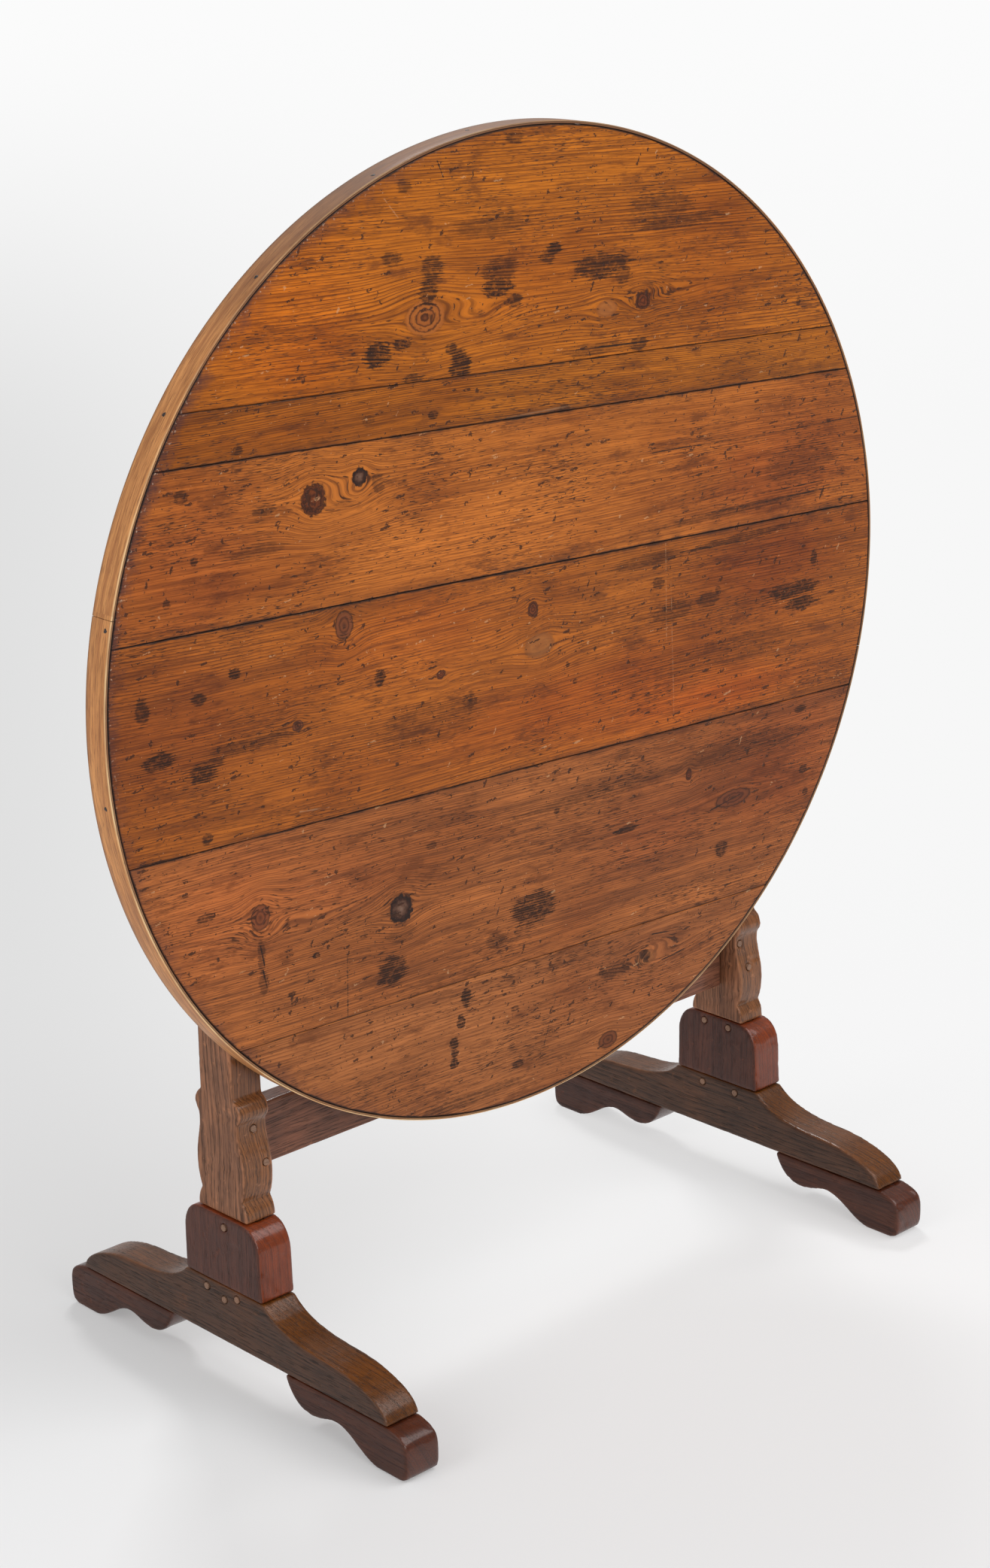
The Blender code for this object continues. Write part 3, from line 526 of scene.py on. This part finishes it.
def soil_rim(g):
    """Grime and pale chips at the rim, heaviest on the left, and the dark gap inside the edging."""
    rho = g.length(g.times(g.x, 1 / OVAL_LENGTH), g.times(g.y, 1 / OVAL_WIDTH))
    rim = g.times(g.less(1.0, rho), OVAL_WIDTH)
    ragged = g.times(g.noise(g.flat, scale=44.0, detail=4.0, roughness=0.65), 0.046)
    left, upper = g.map(g.x, 0.05, -0.42, 0.06, 1.0), g.map(g.y, -0.05, 0.12, 0.45, 0.8)
    g.grime = g.times(g.map(g.add(rim, ragged), 0.04, 0.018), left, upper)
    g.paint(g.grime, GRIME)
    chips = g.map(g.noise(g.flat, scale=330.0, detail=2.0), 0.6, 0.68)
    chips = g.times(chips, g.map(rim, 0.0075, 0.003), g.map(g.x, -0.05, -0.3), g.map(g.y, -0.1, 0.05))
    g.paint(g.times(chips, 0.7), FRESH_CHIP)
    gap = g.map(g.add(rim, g.times(ragged, 0.07)), 0.0038, 0.002)
    g.paint(g.times(gap, 0.92), RIM_GAP)


def bare_back(g):
    """The unpolished, paler underside."""
    g.back = g.map(g.z, BACK + 0.012, BACK + 0.004)
    g.paint(g.times(g.back, 0.62), BARE_BACK)


def polish(g):
    """Old wax over it all, duller where the wood is stained, grimy or bare, and relief to match."""
    rough = g.add(0.33, g.times(g.mottle, 0.16), g.times(g.ring, 0.05), g.times(g.stain, 0.12),
                  g.times(g.grime, 0.12), g.times(g.back, 0.25), g.times(g.fibre, 0.06))
    height = g.add(g.times(g.ring, 0.35), g.times(g.fibre, 0.22), g.times(g.dash, -0.7),
                   g.times(g.nick, -1.6), g.times(g.mottle, 0.5), g.times(g.knot, 0.3),
                   g.times(g.stain, -0.2))
    return g.surface(rough, height, strength=0.42, distance=0.0006, coat_weight=0.03,
                     coat_roughness=0.22, specular_ior_level=0.17)


def pine(number):
    """One board's material: rings bent round its knots, stains, worn specks, and grime at the rim."""
    g = Pine(number)
    for step in (bend_grain, draw_rings, shift_tones, fill_pores, stain_face, open_cracks, cut_nicks,
                 darken_seams, soil_rim, bare_back):
        step(g)
    return polish(g)


# Geometry of the boards


def lattice_noise(a, b, seed):
    """Smooth noise from -1 to 1 over arrays of places, one cell a unit."""
    table = np.random.default_rng(seed).uniform(-1, 1, (97, 97))
    low_a, low_b = np.floor(a).astype(int), np.floor(b).astype(int)
    ta, tb = a - low_a, b - low_b
    ta, tb = ta * ta * (3 - 2 * ta), tb * tb * (3 - 2 * tb)

    def row(up):
        near, far = (table[(low_a + step) % 97, (low_b + up) % 97] for step in (0, 1))
        return near * (1 - ta) + far * ta

    return row(0) * (1 - tb) + row(1) * tb


EDGE_STATIONS = (0.0, 0.0004, 0.0009, 0.0016, 0.0026, 0.0042)
GRID_STEP = 0.005
GRAIN_LENGTH = 0.9  # a usual board's length, from which the spacing along every row is taken


def stations(length):
    """Distances along a length, closer together near its ends."""
    high = [length - d for d in reversed(EDGE_STATIONS)]
    count = max(2, round((high[0] - EDGE_STATIONS[-1]) / GRID_STEP))
    return np.array([*EDGE_STATIONS, *np.linspace(EDGE_STATIONS[-1], high[0], count + 1)[1:-1], *high])


def board_rows(low, high, tallest):
    """Places across a board. An outer board's rows bunch up where its rim runs along the grain."""
    if high < tallest - 0.002 and low > -tallest + 0.002:
        return low + stations(high - low)
    seam, sign = (low, 1) if high > 0 else (-high, -1)
    turns = np.arcsin(seam / tallest) + np.array([0.0, 0.0009, 0.002, 0.0036, 0.006])
    turns = [*turns, *np.linspace(turns[-1], math.radians(89.6), 62)[1:]]
    rows = tallest * np.sin(turns)
    return rows if sign > 0 else -rows[::-1]


def round_over(distance, radius):
    """How far an edge worn to this radius has dropped, at a distance in from it."""
    inside = np.clip(1 - distance / radius, 0, 1)
    return radius * (1 - np.sqrt(np.maximum(0, 1 - inside**2)))


def board(number):
    """One board as a fine grid: worn along its seams and its rim, slightly cupped, and dented."""
    low, high = span(number)
    cos, sin = math.cos(SKEW), math.sin(SKEW)
    a, b = OVAL_LENGTH, OVAL_WIDTH
    tallest = math.hypot(a * sin, b * cos)
    rows = board_rows(max(low, -tallest), min(high, tallest), tallest)

    # Where each row meets the oval: a quadratic in the place along the grain
    square = (cos / a) ** 2 + (sin / b) ** 2
    linear = 2 * rows * cos * sin * (1 / b**2 - 1 / a**2)
    rest = rows**2 * ((sin / a) ** 2 + (cos / b) ** 2) - 1
    root = np.sqrt(np.maximum(linear**2 - 4 * square * rest, 1e-10))
    start, end = (-linear - root) / (2 * square), (-linear + root) / (2 * square)
    share = stations(GRAIN_LENGTH) / GRAIN_LENGTH
    along = start[:, None] + (end - start)[:, None] * share[None, :]
    across = np.repeat(rows[:, None], len(share), axis=1)
    x, y = along * cos - across * sin, along * sin + across * cos

    rim = (1 - np.sqrt((x / a) ** 2 + (y / b) ** 2)) * b
    worn = 0.0013 + 0.0008 * lattice_noise(x * 60, y * 60, number)
    worn = worn + 0.0005 * lattice_noise(x * 260, y * 260, 9)
    drop = round_over(np.maximum(rim, 0), np.maximum(worn, 0.0003))
    for seam in (low, high):
        if abs(seam) < tallest - 0.002:
            soft = 0.0009 + 0.0006 * lattice_noise(along * 25, along * 0 + seam * 40, number + 20)
            drop = np.maximum(drop, round_over(np.abs(across - seam), np.maximum(soft, 0.0002)))
    middle = (low + high) / 2
    cup = 0.0003 * np.cos(np.pi * (across - middle) / (high - low)) - 0.0003
    ripple = 0.00018 * lattice_noise(x * 9, y * 22, number + 40) + 0.00008 * lattice_noise(x * 60, y * 90, 50)
    z = FACE + np.minimum(cup + ripple, 0) - drop
    return grid_solid(f"board_{number}_wood", x, y, z, BACK)


def grid_solid(name, x, y, z, back):
    """A closed solid with this gridded face and a flat back."""
    count_rows, count_columns = x.shape
    face = np.stack([x, y, z], axis=-1).reshape(-1, 3)
    index = np.arange(count_rows * count_columns).reshape(count_rows, count_columns)
    corners = [index[:-1, :-1], index[:-1, 1:], index[1:, 1:], index[1:, :-1]]
    quads = np.stack(corners, axis=-1).reshape(-1, 4)
    ring = np.concatenate([index[0, :-1], index[:-1, -1], index[-1, :0:-1], index[:0:-1, 0]])
    bottom = face[ring].copy()
    bottom[:, 2] = back
    below = len(face) + np.arange(len(ring))
    sides = np.stack([ring, below, np.roll(below, -1), np.roll(ring, -1)], axis=-1)
    mesh = bpy.data.meshes.new(name)
    faces = [*quads.tolist(), *sides.tolist(), below[::-1].tolist()]
    mesh.from_pydata(np.concatenate([face, bottom]).tolist(), [], faces)
    mesh.shade_smooth()
    mesh.set_sharp_from_angle(angle=SHARP)
    return mesh


def show(name, mesh, material, body, place=Matrix.Identity(4), stands_for=()):
    """A visible piece that rides on a body and stands for the CAD nodes it replaces."""
    piece = bpy.data.objects.new(name, mesh)
    bpy.context.scene.collection.objects.link(piece)
    piece.matrix_world = place
    mesh.materials.clear()
    mesh.materials.append(material)
    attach(piece, body)
    if stands_for:
        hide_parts(*stands_for)


def boards():
    """The six boards, each in place of its plain CAD board."""
    for number in BOARDS:
        show(f"top_board_{number}_wood", board(number), pine(number), "top", PIVOT,
             [f"top_board_{number}"])


# Edging

EDGING_JOINT = math.radians(167.1)  # where the two lengths meet on the left, round the oval
GAP = 0.0003
NAIL_PROUD = 0.0003
EDGING_ROUND = 0.0008


def bent_strip():
    """The pale edging: grain that follows the bend, a cream front arris that is partly wear and partly a
    painted highlight, a dark line against the boards.
    """
    g = Graph("bent_edging")
    x, y, z = g.split(g.make("TexCoord").outputs["Object"])
    cos, sin = math.cos(EDGING_JOINT), math.sin(EDGING_JOINT)
    turned_x = g.add(g.times(x, -cos), g.times(y, -sin))
    turned_y = g.add(g.times(x, sin), g.times(y, -cos))
    along = g.times(g.math("ARCTAN2", turned_y, turned_x), 0.5)
    rho = g.times(g.length(g.times(x, 1 / OVAL_LENGTH), g.times(y, 1 / OVAL_WIDTH)), OVAL_WIDTH)
    depth = g.less(rho, OVAL_WIDTH)
    level = g.add(z, g.times(g.cells((along, z), (6.0, 30.0), detail=1.0), 0.012))
    fibre = g.cells((along, level, depth), (46.0, 800.0, 1.0), detail=4.0, roughness=0.65)
    streak = g.cells((along, level, depth), (9.0, 200.0, 1.0), detail=4.0, roughness=0.6)
    mottle = g.cells((along, z, 4.0), (14.0, 60.0, 1.0), detail=3.0)
    g.colour = g.mix(g.map(streak, 0.4, 0.66), (0.67, 0.3, 0.1), (0.46, 0.182, 0.06))
    g.paint(g.map(fibre, 0.46, 0.66, 0.0, 0.75), (0.26, 0.092, 0.032))
    crown = g.map(y, 0.28, 0.46)
    g.paint(g.times(crown, 0.8), (0.12, 0.062, 0.038))
    g.paint(1.0, g.ramp(mottle, [(0.25, (0.74, 0.7, 0.66)), (0.55, (1.0, 1.0, 1.0)),
                                 (0.8, (1.15, 1.15, 1.12))]), "MULTIPLY")
    dash = g.map(g.cells((along, level, 7.0), (70.0, 1500.0, 1.0), detail=1.0), 0.66, 0.74)
    g.paint(g.times(dash, 0.6), (0.1, 0.045, 0.02))
    # The cream front arris: worn wood in patches, and partly a painted highlight that is strongest low on the
    # oval and fades towards its top.
    front = g.map(z, FACE - 0.0016, FACE - 0.0006)
    worn = g.map(g.noise(g.join(g.times(along, 16.0), 2.0, 3.0), detail=3.0), 0.35, 0.65, 0.35, 1.0)
    lit = g.map(y, 0.34, 0.12, 0.25, 1.0)
    g.paint(g.times(front, worn, lit, 0.9), (0.88, 0.6, 0.31))
    inside = g.times(front, g.map(depth, 0.0024, 0.0018))
    g.paint(g.times(inside, 0.85), (0.22, 0.085, 0.03))
    glue = g.times(front, g.map(g.math("ABSOLUTE", g.less(depth, 0.002)), 0.0004, 0.0001))
    g.paint(g.times(glue, 0.9), (0.04, 0.018, 0.01))
    inner = g.map(depth, 0.0012, 0.0004)
    g.paint(g.times(inner, 0.95), (0.022, 0.011, 0.008))
    back = g.map(z, BACK + 0.004, BACK)
    g.paint(g.times(back, 0.6), (0.12, 0.06, 0.03))
    rough = g.add(0.36, g.times(mottle, 0.2), g.times(crown, 0.2))
    height = g.add(g.times(fibre, 0.3), g.times(dash, -0.4), mottle)
    return g.surface(rough, height, strength=0.1, distance=0.0002, coat_weight=0.06,
                     coat_roughness=0.25, specular_ior_level=0.25)


def edging():
    """Two bent lengths, each swept round its half of the oval with softened arrises and a slight wave."""
    material = bent_strip()
    outer_length = max(abs((PIVOT.inverted() @ v.co).x) for v in NODES["upper_edging"].data.vertices)
    thick = outer_length - OVAL_LENGTH - GAP - NAIL_PROUD
    corner = [(1 - math.cos(t), 1 - math.sin(t)) for t in np.linspace(0, math.pi / 2, 4)]
    top_corner = [(thick - EDGING_ROUND * s, FACE - EDGING_ROUND * c) for s, c in corner]
    low_corner = [(thick - EDGING_ROUND * s, BACK + EDGING_ROUND * c) for s, c in reversed(corner)]
    side = [(thick, BACK + (FACE - BACK) * t) for t in (0.35, 0.65)]
    loop = [*low_corner, *side, *top_corner, (0.0006, FACE), (0.0, FACE - 0.0006), (0.0, BACK)]
    for name, start in (("upper_edging", EDGING_JOINT - math.pi), ("lower_edging", EDGING_JOINT)):
        turns = np.linspace(start + 0.0005, start + math.pi - 0.0005, 240)
        cross = np.array(loop)
        reach = cross[None, :, 0] + GAP
        wave = 1 + 0.0002 * lattice_noise(turns[:, None] * 9, cross[None, :, 1] * 60, 5)
        wave = np.minimum(wave, 1.0)
        x = (OVAL_LENGTH + reach) * np.cos(turns)[:, None] * wave
        y = (OVAL_WIDTH + reach) * np.sin(turns)[:, None] * wave
        z = np.repeat(cross[None, :, 1], len(turns), axis=0)
        show(name + "_strip", swept(name, x, y, z), material, "top", PIVOT, [name])
    edging_nails(thick + NAIL_PROUD)


# Where the small nails through the edging are: degrees round the oval, and the height in the top's frame
EDGING_NAILS = ((128.8, 0.052), (111.2, 0.053), (145.8, 0.048), (97.2, 0.046), (168.2, 0.055),
                (187.0, 0.052), (20.0, 0.048), (50.0, 0.047), (75.0, 0.049), (250.0, 0.048),
                (285.0, 0.047), (320.0, 0.048), (350.0, 0.049))
NAIL_RADIUS = 0.0021
NAIL_SIDES = 14
NAIL_RINGS = 4


def edging_nails(thick):
    """Small hand-made nails through the edging, each a low dome of its own uneven outline."""
    material = next(slot.material for slot in NODES["left_batten_nail_1"].material_slots)
    for number, (turn, height) in enumerate(EDGING_NAILS, start=1):
        t = math.radians(turn)
        reach = (OVAL_LENGTH + thick + GAP, OVAL_WIDTH + thick + GAP)
        middle = Vector((reach[0] * math.cos(t), reach[1] * math.sin(t), height))
        outward = Vector((math.cos(t) / reach[0], math.sin(t) / reach[1], 0)).normalized()
        side = Vector((0, 0, 1)).cross(outward)
        points = []
        for ring in range(NAIL_RINGS):
            spread, rise = math.cos(ring * math.pi / 6.4), math.sin(ring * math.pi / 6.4)
            for step in range(NAIL_SIDES):
                a = step * math.tau / NAIL_SIDES
                uneven = 1 + 0.13 * math.sin(3 * a + number * 2.0) + 0.06 * math.sin(5 * a)
                offset = (side * math.cos(a) + Vector((0, 0, math.sin(a)))) * NAIL_RADIUS * spread * uneven
                points.append(middle + offset - outward * NAIL_PROUD * (1 - rise))
        index = np.arange(len(points)).reshape(NAIL_RINGS, NAIL_SIDES)
        turned = np.roll(index, -1, axis=1)
        sides = np.stack([index[:-1], turned[:-1], turned[1:], index[1:]], axis=-1).reshape(-1, 4)
        faces = [*sides.tolist(), index[-1].tolist(), index[0][::-1].tolist()]
        mesh = bpy.data.meshes.new(f"edging_nail_{number}")
        mesh.from_pydata([tuple(point) for point in points], [], faces)
        mesh.shade_smooth()
        show(f"edging_nail_{number}", mesh, material, "top", PIVOT)


def swept(name, x, y, z):
    """A closed solid from rows of the same closed cross section."""
    count, sides = x.shape
    points = np.stack([x, y, z], axis=-1).reshape(-1, 3)
    index = np.arange(count * sides).reshape(count, sides)
    following = np.roll(index, -1, axis=1)
    quads = np.stack([index[:-1], index[1:], following[1:], following[:-1]], axis=-1).reshape(-1, 4)
    mesh = bpy.data.meshes.new(name)
    mesh.from_pydata(points.tolist(), [], [*quads.tolist(), index[0].tolist(), index[-1][::-1].tolist()])
    shape = bmesh.new()
    shape.from_mesh(mesh)
    bmesh.ops.recalc_face_normals(shape, faces=shape.faces)
    shape.to_mesh(mesh)
    shape.free()
    mesh.shade_smooth()
    mesh.set_sharp_from_angle(angle=SHARP)
    return mesh


# Trestle timber

CORNER_DARK = (0.012, 0.007, 0.005)
OAK_UPRIGHT = ((0.33, 0.14, 0.068), (0.105, 0.042, 0.02))
OAK_FOOT = ((0.088, 0.036, 0.017), (0.028, 0.012, 0.006))
OAK_STRETCHER = ((0.23, 0.09, 0.048), (0.095, 0.035, 0.02))
MAHOGANY_BLOCK = ((0.09, 0.028, 0.016), (0.048, 0.015, 0.01))
MAHOGANY_PAD = ((0.078, 0.024, 0.012), (0.036, 0.011, 0.007))
BATTEN_PINE = ((0.25, 0.125, 0.055), (0.14, 0.065, 0.03))
PEG_END = ((0.22, 0.125, 0.08), (0.12, 0.062, 0.04))
TURNED_BEECH = ((0.26, 0.13, 0.06), (0.16, 0.075, 0.035))
NAIL_IRON = ((0.045, 0.036, 0.034), (0.025, 0.018, 0.016))


def timber(name, grain, early, late, gloss, pores=0.6, spacing=0.004, wear=0.3, coat=0.22, polish_and_painted_light=None):
    """Old timber with its grain along one axis: long figure, open dirty pores, worn light patches and wax.

    Faces that don't face sideways along X are waxed glossier and take a tint of painted light and shade, so
    that fronts and tops show another colour than the sides.
    """
    g = Graph(name)
    parts = g.split(g.make("TexCoord").outputs["Object"])
    along = parts["XYZ".index(grain)]
    across, through = [part for axis, part in zip("XYZ", parts) if axis != grain]
    whole = g.join(*parts)
    slow = g.cells((along, across, through), (5.0, 14.0, 14.0), detail=1.0)
    level = g.add(across, g.times(through, 0.55), g.times(slow, 0.014))
    drift = g.noise_1d(level, 120.0, 2.0)
    ring = g.ramp(g.math("FRACT", g.add(g.times(level, 1 / spacing), g.times(drift, 3.0))),
                  [(0.0, 0.5), (0.12, 0.0), (0.6, 0.35), (0.9, 1.0), (1.0, 0.6)])
    fibre = g.cells((along, level, through), (24.0, 900.0, 300.0), detail=3.0)
    pore = g.cells((along, level, through), (55.0, 1300.0, 700.0), detail=1.0)
    pore = g.map(g.add(pore, g.times(ring, 0.1)), 0.6, 0.7)
    mottle = g.noise(whole, scale=16.0, detail=4.0, roughness=0.6)
    g.colour = g.mix(g.times(ring, 0.75), early, late)
    g.paint(g.map(fibre, 0.35, 0.72, 0.0, 0.6), late)
    g.paint(1.0, g.ramp(mottle, [(0.25, (0.66, 0.62, 0.6)), (0.5, (1.0, 1.0, 1.0)),
                                 (0.75, (1.32, 1.25, 1.18))]), "MULTIPLY")
    g.paint(g.times(pore, pores), shade(late, 0.25))
    geometry = g.make("NewGeometry")
    # Painted light and shade: the faces not turned along X are multiplied by the tint below, so fronts and
    # tops look lit differently from the sides; the same mask adds real wax gloss.
    rubbed = g.map(g.math("ABSOLUTE", g.split(geometry.outputs["Normal"])[0]), 0.85, 0.35)
    if polish_and_painted_light:
        g.paint(rubbed, g.mix(1.0, g.colour, polish_and_painted_light, "MULTIPLY"))
    pointed = geometry.outputs["Pointiness"]
    worn = g.times(g.map(g.add(pointed, g.times(g.less(mottle, 0.5), 0.05)), 0.515, 0.56), wear)
    g.paint(worn, tuple(2.2 * part + 0.012 for part in early))
    # Darker in inside corners and hollows, where the surface is concave.
    inside_corner_dark = g.map(pointed, 0.49, 0.44)
    g.paint(g.times(inside_corner_dark, 0.8), CORNER_DARK)
    scuff = g.map(g.noise(whole, scale=70.0, detail=3.0, roughness=0.7), 0.62, 0.72)
    g.paint(g.times(scuff, 0.35), shade(early, 1.9))
    rough = g.add(gloss, g.times(mottle, 0.22), g.times(pore, 0.15), g.times(scuff, 0.1))
    rough = g.add(rough, g.times(rubbed, -0.14 if polish_and_painted_light else 0.0))
    height = g.add(g.times(fibre, 0.5), g.times(pore, -1.2), g.times(mottle, 1.5), g.times(scuff, -0.5))
    return g.surface(rough, height, strength=0.4, distance=0.0006,
                     coat_weight=g.times(rubbed, coat), coat_roughness=0.16, specular_ior_level=0.3)


FINE_CELL = 0.0018
WORN_TIMBER = [f"{side}_{part}" for side in ("left", "right")
               for part in ("standard", "foot_beam", "block", "front_pad", "rear_pad")] + ["stretcher"]


def worn(name, seed):
    """A node's shape with its arrises rounded by use and its faces slightly uneven and dented."""
    dent_depth = 0.0006 if "beam" in name else 0.0014
    node = NODES[name]
    copy = bpy.data.objects.new(name + "_copy", node.data.copy())
    bpy.context.scene.collection.objects.link(copy)
    copy.matrix_world = node.matrix_world
    remesh = copy.modifiers.new("cells", "REMESH")
    remesh.mode = "VOXEL"
    remesh.voxel_size = FINE_CELL * (0.85 if "standard" in name else 1.0)
    soften = copy.modifiers.new("soften", "SMOOTH")
    soften.factor = 0.5
    soften.iterations = 2 if "standard" in name else 4
    mesh = bpy.data.meshes.new_from_object(copy.evaluated_get(bpy.context.evaluated_depsgraph_get()))
    bpy.data.objects.remove(copy)
    count = len(mesh.vertices)
    places, normals = np.empty(count * 3), np.empty(count * 3)
    mesh.vertices.foreach_get("co", places)
    mesh.vertices.foreach_get("normal", normals)
    places, normals = places.reshape(-1, 3), normals.reshape(-1, 3)
    x, y, z = places.T
    broad = lattice_noise(x * 31 + z * 17 + 40, y * 31 + z * 23 + 40, seed)
    fine = lattice_noise(x * 190 + z * 120 + 60, y * 160 + z * 130 + 60, seed + 1)
    dents = np.maximum(0, lattice_noise(x * 75 + z * 60 + 50, y * 75 + z * 90 + 50, seed + 2) - 0.45)
    depth = 0.0003 * (1 + broad) / 2 + 0.0001 * (1 + fine) / 2 + dent_depth * dents
    places = places - normals * depth[:, None]
    corners = np.array([node.matrix_world @ v.co for v in node.data.vertices])
    places = np.clip(places, corners.min(axis=0), corners.max(axis=0))
    mesh.vertices.foreach_set("co", places.reshape(-1))
    mesh.update()
    mesh.shade_smooth()
    return mesh


def dress(node, material):
    for slot in NODES[node].material_slots:
        slot.material = material


def finishes():
    """Each finish, by a word in the names of the nodes that wear it. The first word found counts."""
    turned = timber("turned_beech", "X", *TURNED_BEECH, 0.4, 0.3, 0.003, 0.4, 0.2)
    plain = timber("batten_pine", "Y", *BATTEN_PINE, 0.62, 0.3, 0.005, 0.2, 0.0)
    return {
        "nail": timber("nail_iron", "Z", *NAIL_IRON, 0.45, 0.1, 0.002, 0.3, 0.0),
        "locking": turned,
        "pivot_pin": turned,
        "peg": timber("peg_end_grain", "X", *PEG_END, 0.5, 0.5, 0.0012, 0.2, 0.05),
        "batten": timber("batten_pine_up", "Z", *BATTEN_PINE, 0.62, 0.3, 0.005, 0.2, 0.0),
        "standard": timber("oak_upright", "Z", *OAK_UPRIGHT, 0.4, coat=0.35, polish_and_painted_light=(0.8, 0.7, 0.46)),
        "foot_beam": timber("oak_foot", "Y", *OAK_FOOT, 0.36, coat=0.14, polish_and_painted_light=(2.0, 1.55, 0.55)),
        "stretcher": timber("oak_stretcher", "X", *OAK_STRETCHER, 0.42),
        "block": timber("mahogany_block", "Z", *MAHOGANY_BLOCK, 0.34, 0.35, 0.007, wear=0.12, coat=0.38,
                        polish_and_painted_light=(2.5, 1.4, 0.45)),
        "pad": timber("mahogany_pad", "Y", *MAHOGANY_PAD, 0.36, 0.35, 0.007, wear=0.15, coat=0.4,
                      polish_and_painted_light=(1.25, 0.9, 0.55)),
        "edging": plain,
        "board": plain,
    }


def trestles():
    """Every CAD node's finish, and the trestles' timbers in their worn shapes."""
    choices = finishes()
    chosen = {node: next(choices[word] for word in choices if word in node) for node in NODES}
    for node, material in chosen.items():
        dress(node, material)
    for seed, name in enumerate(WORN_TIMBER):
        show(name + "_timber", worn(name, 100 + seed), chosen[name], "stand", stands_for=[name])


# Stage


FLOOR_RADIUS = 90
FLOOR_DROP = 0.0002  # the floor lies this far below the pads, so that they never share a plane


def stage():
    """A pale sweep that glows behind the table as painted light, and turns grey far in front of it as painted
    shade for a darker room.
    """
    bpy.ops.mesh.primitive_circle_add(vertices=96, radius=FLOOR_RADIUS, fill_type="NGON",
                                      location=(0, 0, -FLOOR_DROP))
    floor = bpy.context.object
    floor.name = "floor"
    g = Graph("studio_floor")
    x, y, _ = g.split(g.make("TexCoord").outputs["Object"])
    behind = g.add(g.times(x, -math.sin(CAMERA_HEADING)), g.times(y, math.cos(CAMERA_HEADING)))
    aside = g.add(g.times(x, math.cos(CAMERA_HEADING)), g.times(y, math.sin(CAMERA_HEADING)))
    paper = g.make("BsdfDiffuse", {"Color": (0.81, 0.81, 0.815)})
    # Painted light: the glow is dimmer on the left and brighter far behind the table.
    bright = g.map(g.math("DIVIDE", aside, g.add(behind, 2.8)), -0.2, 0.02, 0.74, 0.93)
    near = g.math("DIVIDE", 1.0, g.add(behind, 2.8))
    distant = g.map(near, 0.15, 0.03)
    bright = g.add(g.times(bright, g.less(1.0, distant)), g.times(distant, 0.965))
    glow = g.make("Emission", {"Color": (1.0, 1.0, 1.0), "Strength": bright})
    # Some glow is mixed in near the table and in front of it too, painted light that softens the shadows on
    # the floor.
    blend = g.make("MixShader", {0: g.map(behind, -1.1, 1.6, 0.14, 1.0)})
    g.links.new(paper.outputs[0], blend.inputs[1])
    g.links.new(glow.outputs[0], blend.inputs[2])
    # Painted shade: far in front the floor turns to a grey, for the darker room.
    dark = g.make("BsdfDiffuse", {"Color": (0.5, 0.5, 0.5)})
    edge = g.make("MixShader", {0: g.map(behind, -1.4, -3.2)})
    g.links.new(blend.outputs[0], edge.inputs[1])
    g.links.new(dark.outputs[0], edge.inputs[2])
    output = g.make("OutputMaterial")
    g.links.new(edge.outputs[0], output.inputs[0])
    floor.data.materials.append(g.material)


# Soft boxes: place, the point each one faces, its size in metres, and its watts
LAMPS = {
    "key": ((1.2, -1.8, 3.2), (0, 0, 0.4), (2.6, 2.6), 62),
    "front": ((-0.9, -3.6, 2.2), (0, 0, 0.7), (2.0, 2.0), 46),
    "left": ((-3.4, 0.3, 2.0), (0, 0, 0.5), (1.6, 2.4), 34),
    "back": ((2.0, 2.3, 3.7), (0, 0, 0.2), (1.2, 0.7), 66),
}
DARK_SIDE = (0.68, -0.73, 0.0)  # the unlit side of the room, which the upper boards mirror
DARK_FROM, DARK_FULL = 0.0, 0.75  # how squarely a place faces that side where it begins to darken, and ends
ROOM_LIT, ROOM_DARK = 0.44, 0.22


def lamp(name, place, target, size, power):
    light = bpy.data.lights.new(name, "AREA")
    light.shape = "RECTANGLE"
    light.size, light.size_y = size
    light.energy = power
    obj = bpy.data.objects.new(name, light)
    bpy.context.scene.collection.objects.link(obj)
    obj.location = place
    obj.rotation_euler = (Vector(target) - Vector(place)).to_track_quat("-Z", "Y").to_euler()


def room():
    """A white room that is darker on one side."""
    world = bpy.data.worlds.new("studio")
    bpy.context.scene.world = world
    world.use_nodes = True
    nodes, links = world.node_tree.nodes, world.node_tree.links
    towards = nodes.new("ShaderNodeVectorMath")
    towards.operation = "DOT_PRODUCT"
    towards.inputs[1].default_value = DARK_SIDE
    links.new(nodes.new("ShaderNodeTexCoord").outputs["Generated"], towards.inputs[0])
    fall = nodes.new("ShaderNodeMapRange")
    for place, value in enumerate((DARK_FROM, DARK_FULL, ROOM_LIT, ROOM_DARK), start=1):
        fall.inputs[place].default_value = value
    links.new(towards.outputs["Value"], fall.inputs[0])
    links.new(fall.outputs[0], nodes["Background"].inputs[1])
    nodes["Background"].inputs[0].default_value = (1.0, 1.0, 1.0, 1)


def lighting():
    room()
    for name, setting in LAMPS.items():
        lamp(name, *setting)
    bpy.context.scene.view_settings.view_transform = "Standard"


def camera():
    data = bpy.data.cameras.new("camera")
    data.lens = CAMERA_LENS
    data.sensor_width = CAMERA_SENSOR
    data.clip_end = 400
    obj = bpy.data.objects.new("camera", data)
    bpy.context.scene.collection.objects.link(obj)
    level = Matrix.Rotation(CAMERA_HEADING, 4, "Z") @ Matrix.Rotation(math.pi / 2 - CAMERA_FALL, 4, "X")
    obj.matrix_world = Matrix.Translation(CAMERA_PLACE) @ level @ Matrix.Rotation(CAMERA_ROLL, 4, "Z")
    bpy.context.scene.camera = obj


camera()
lighting()
stage()
trestles()
boards()
edging()
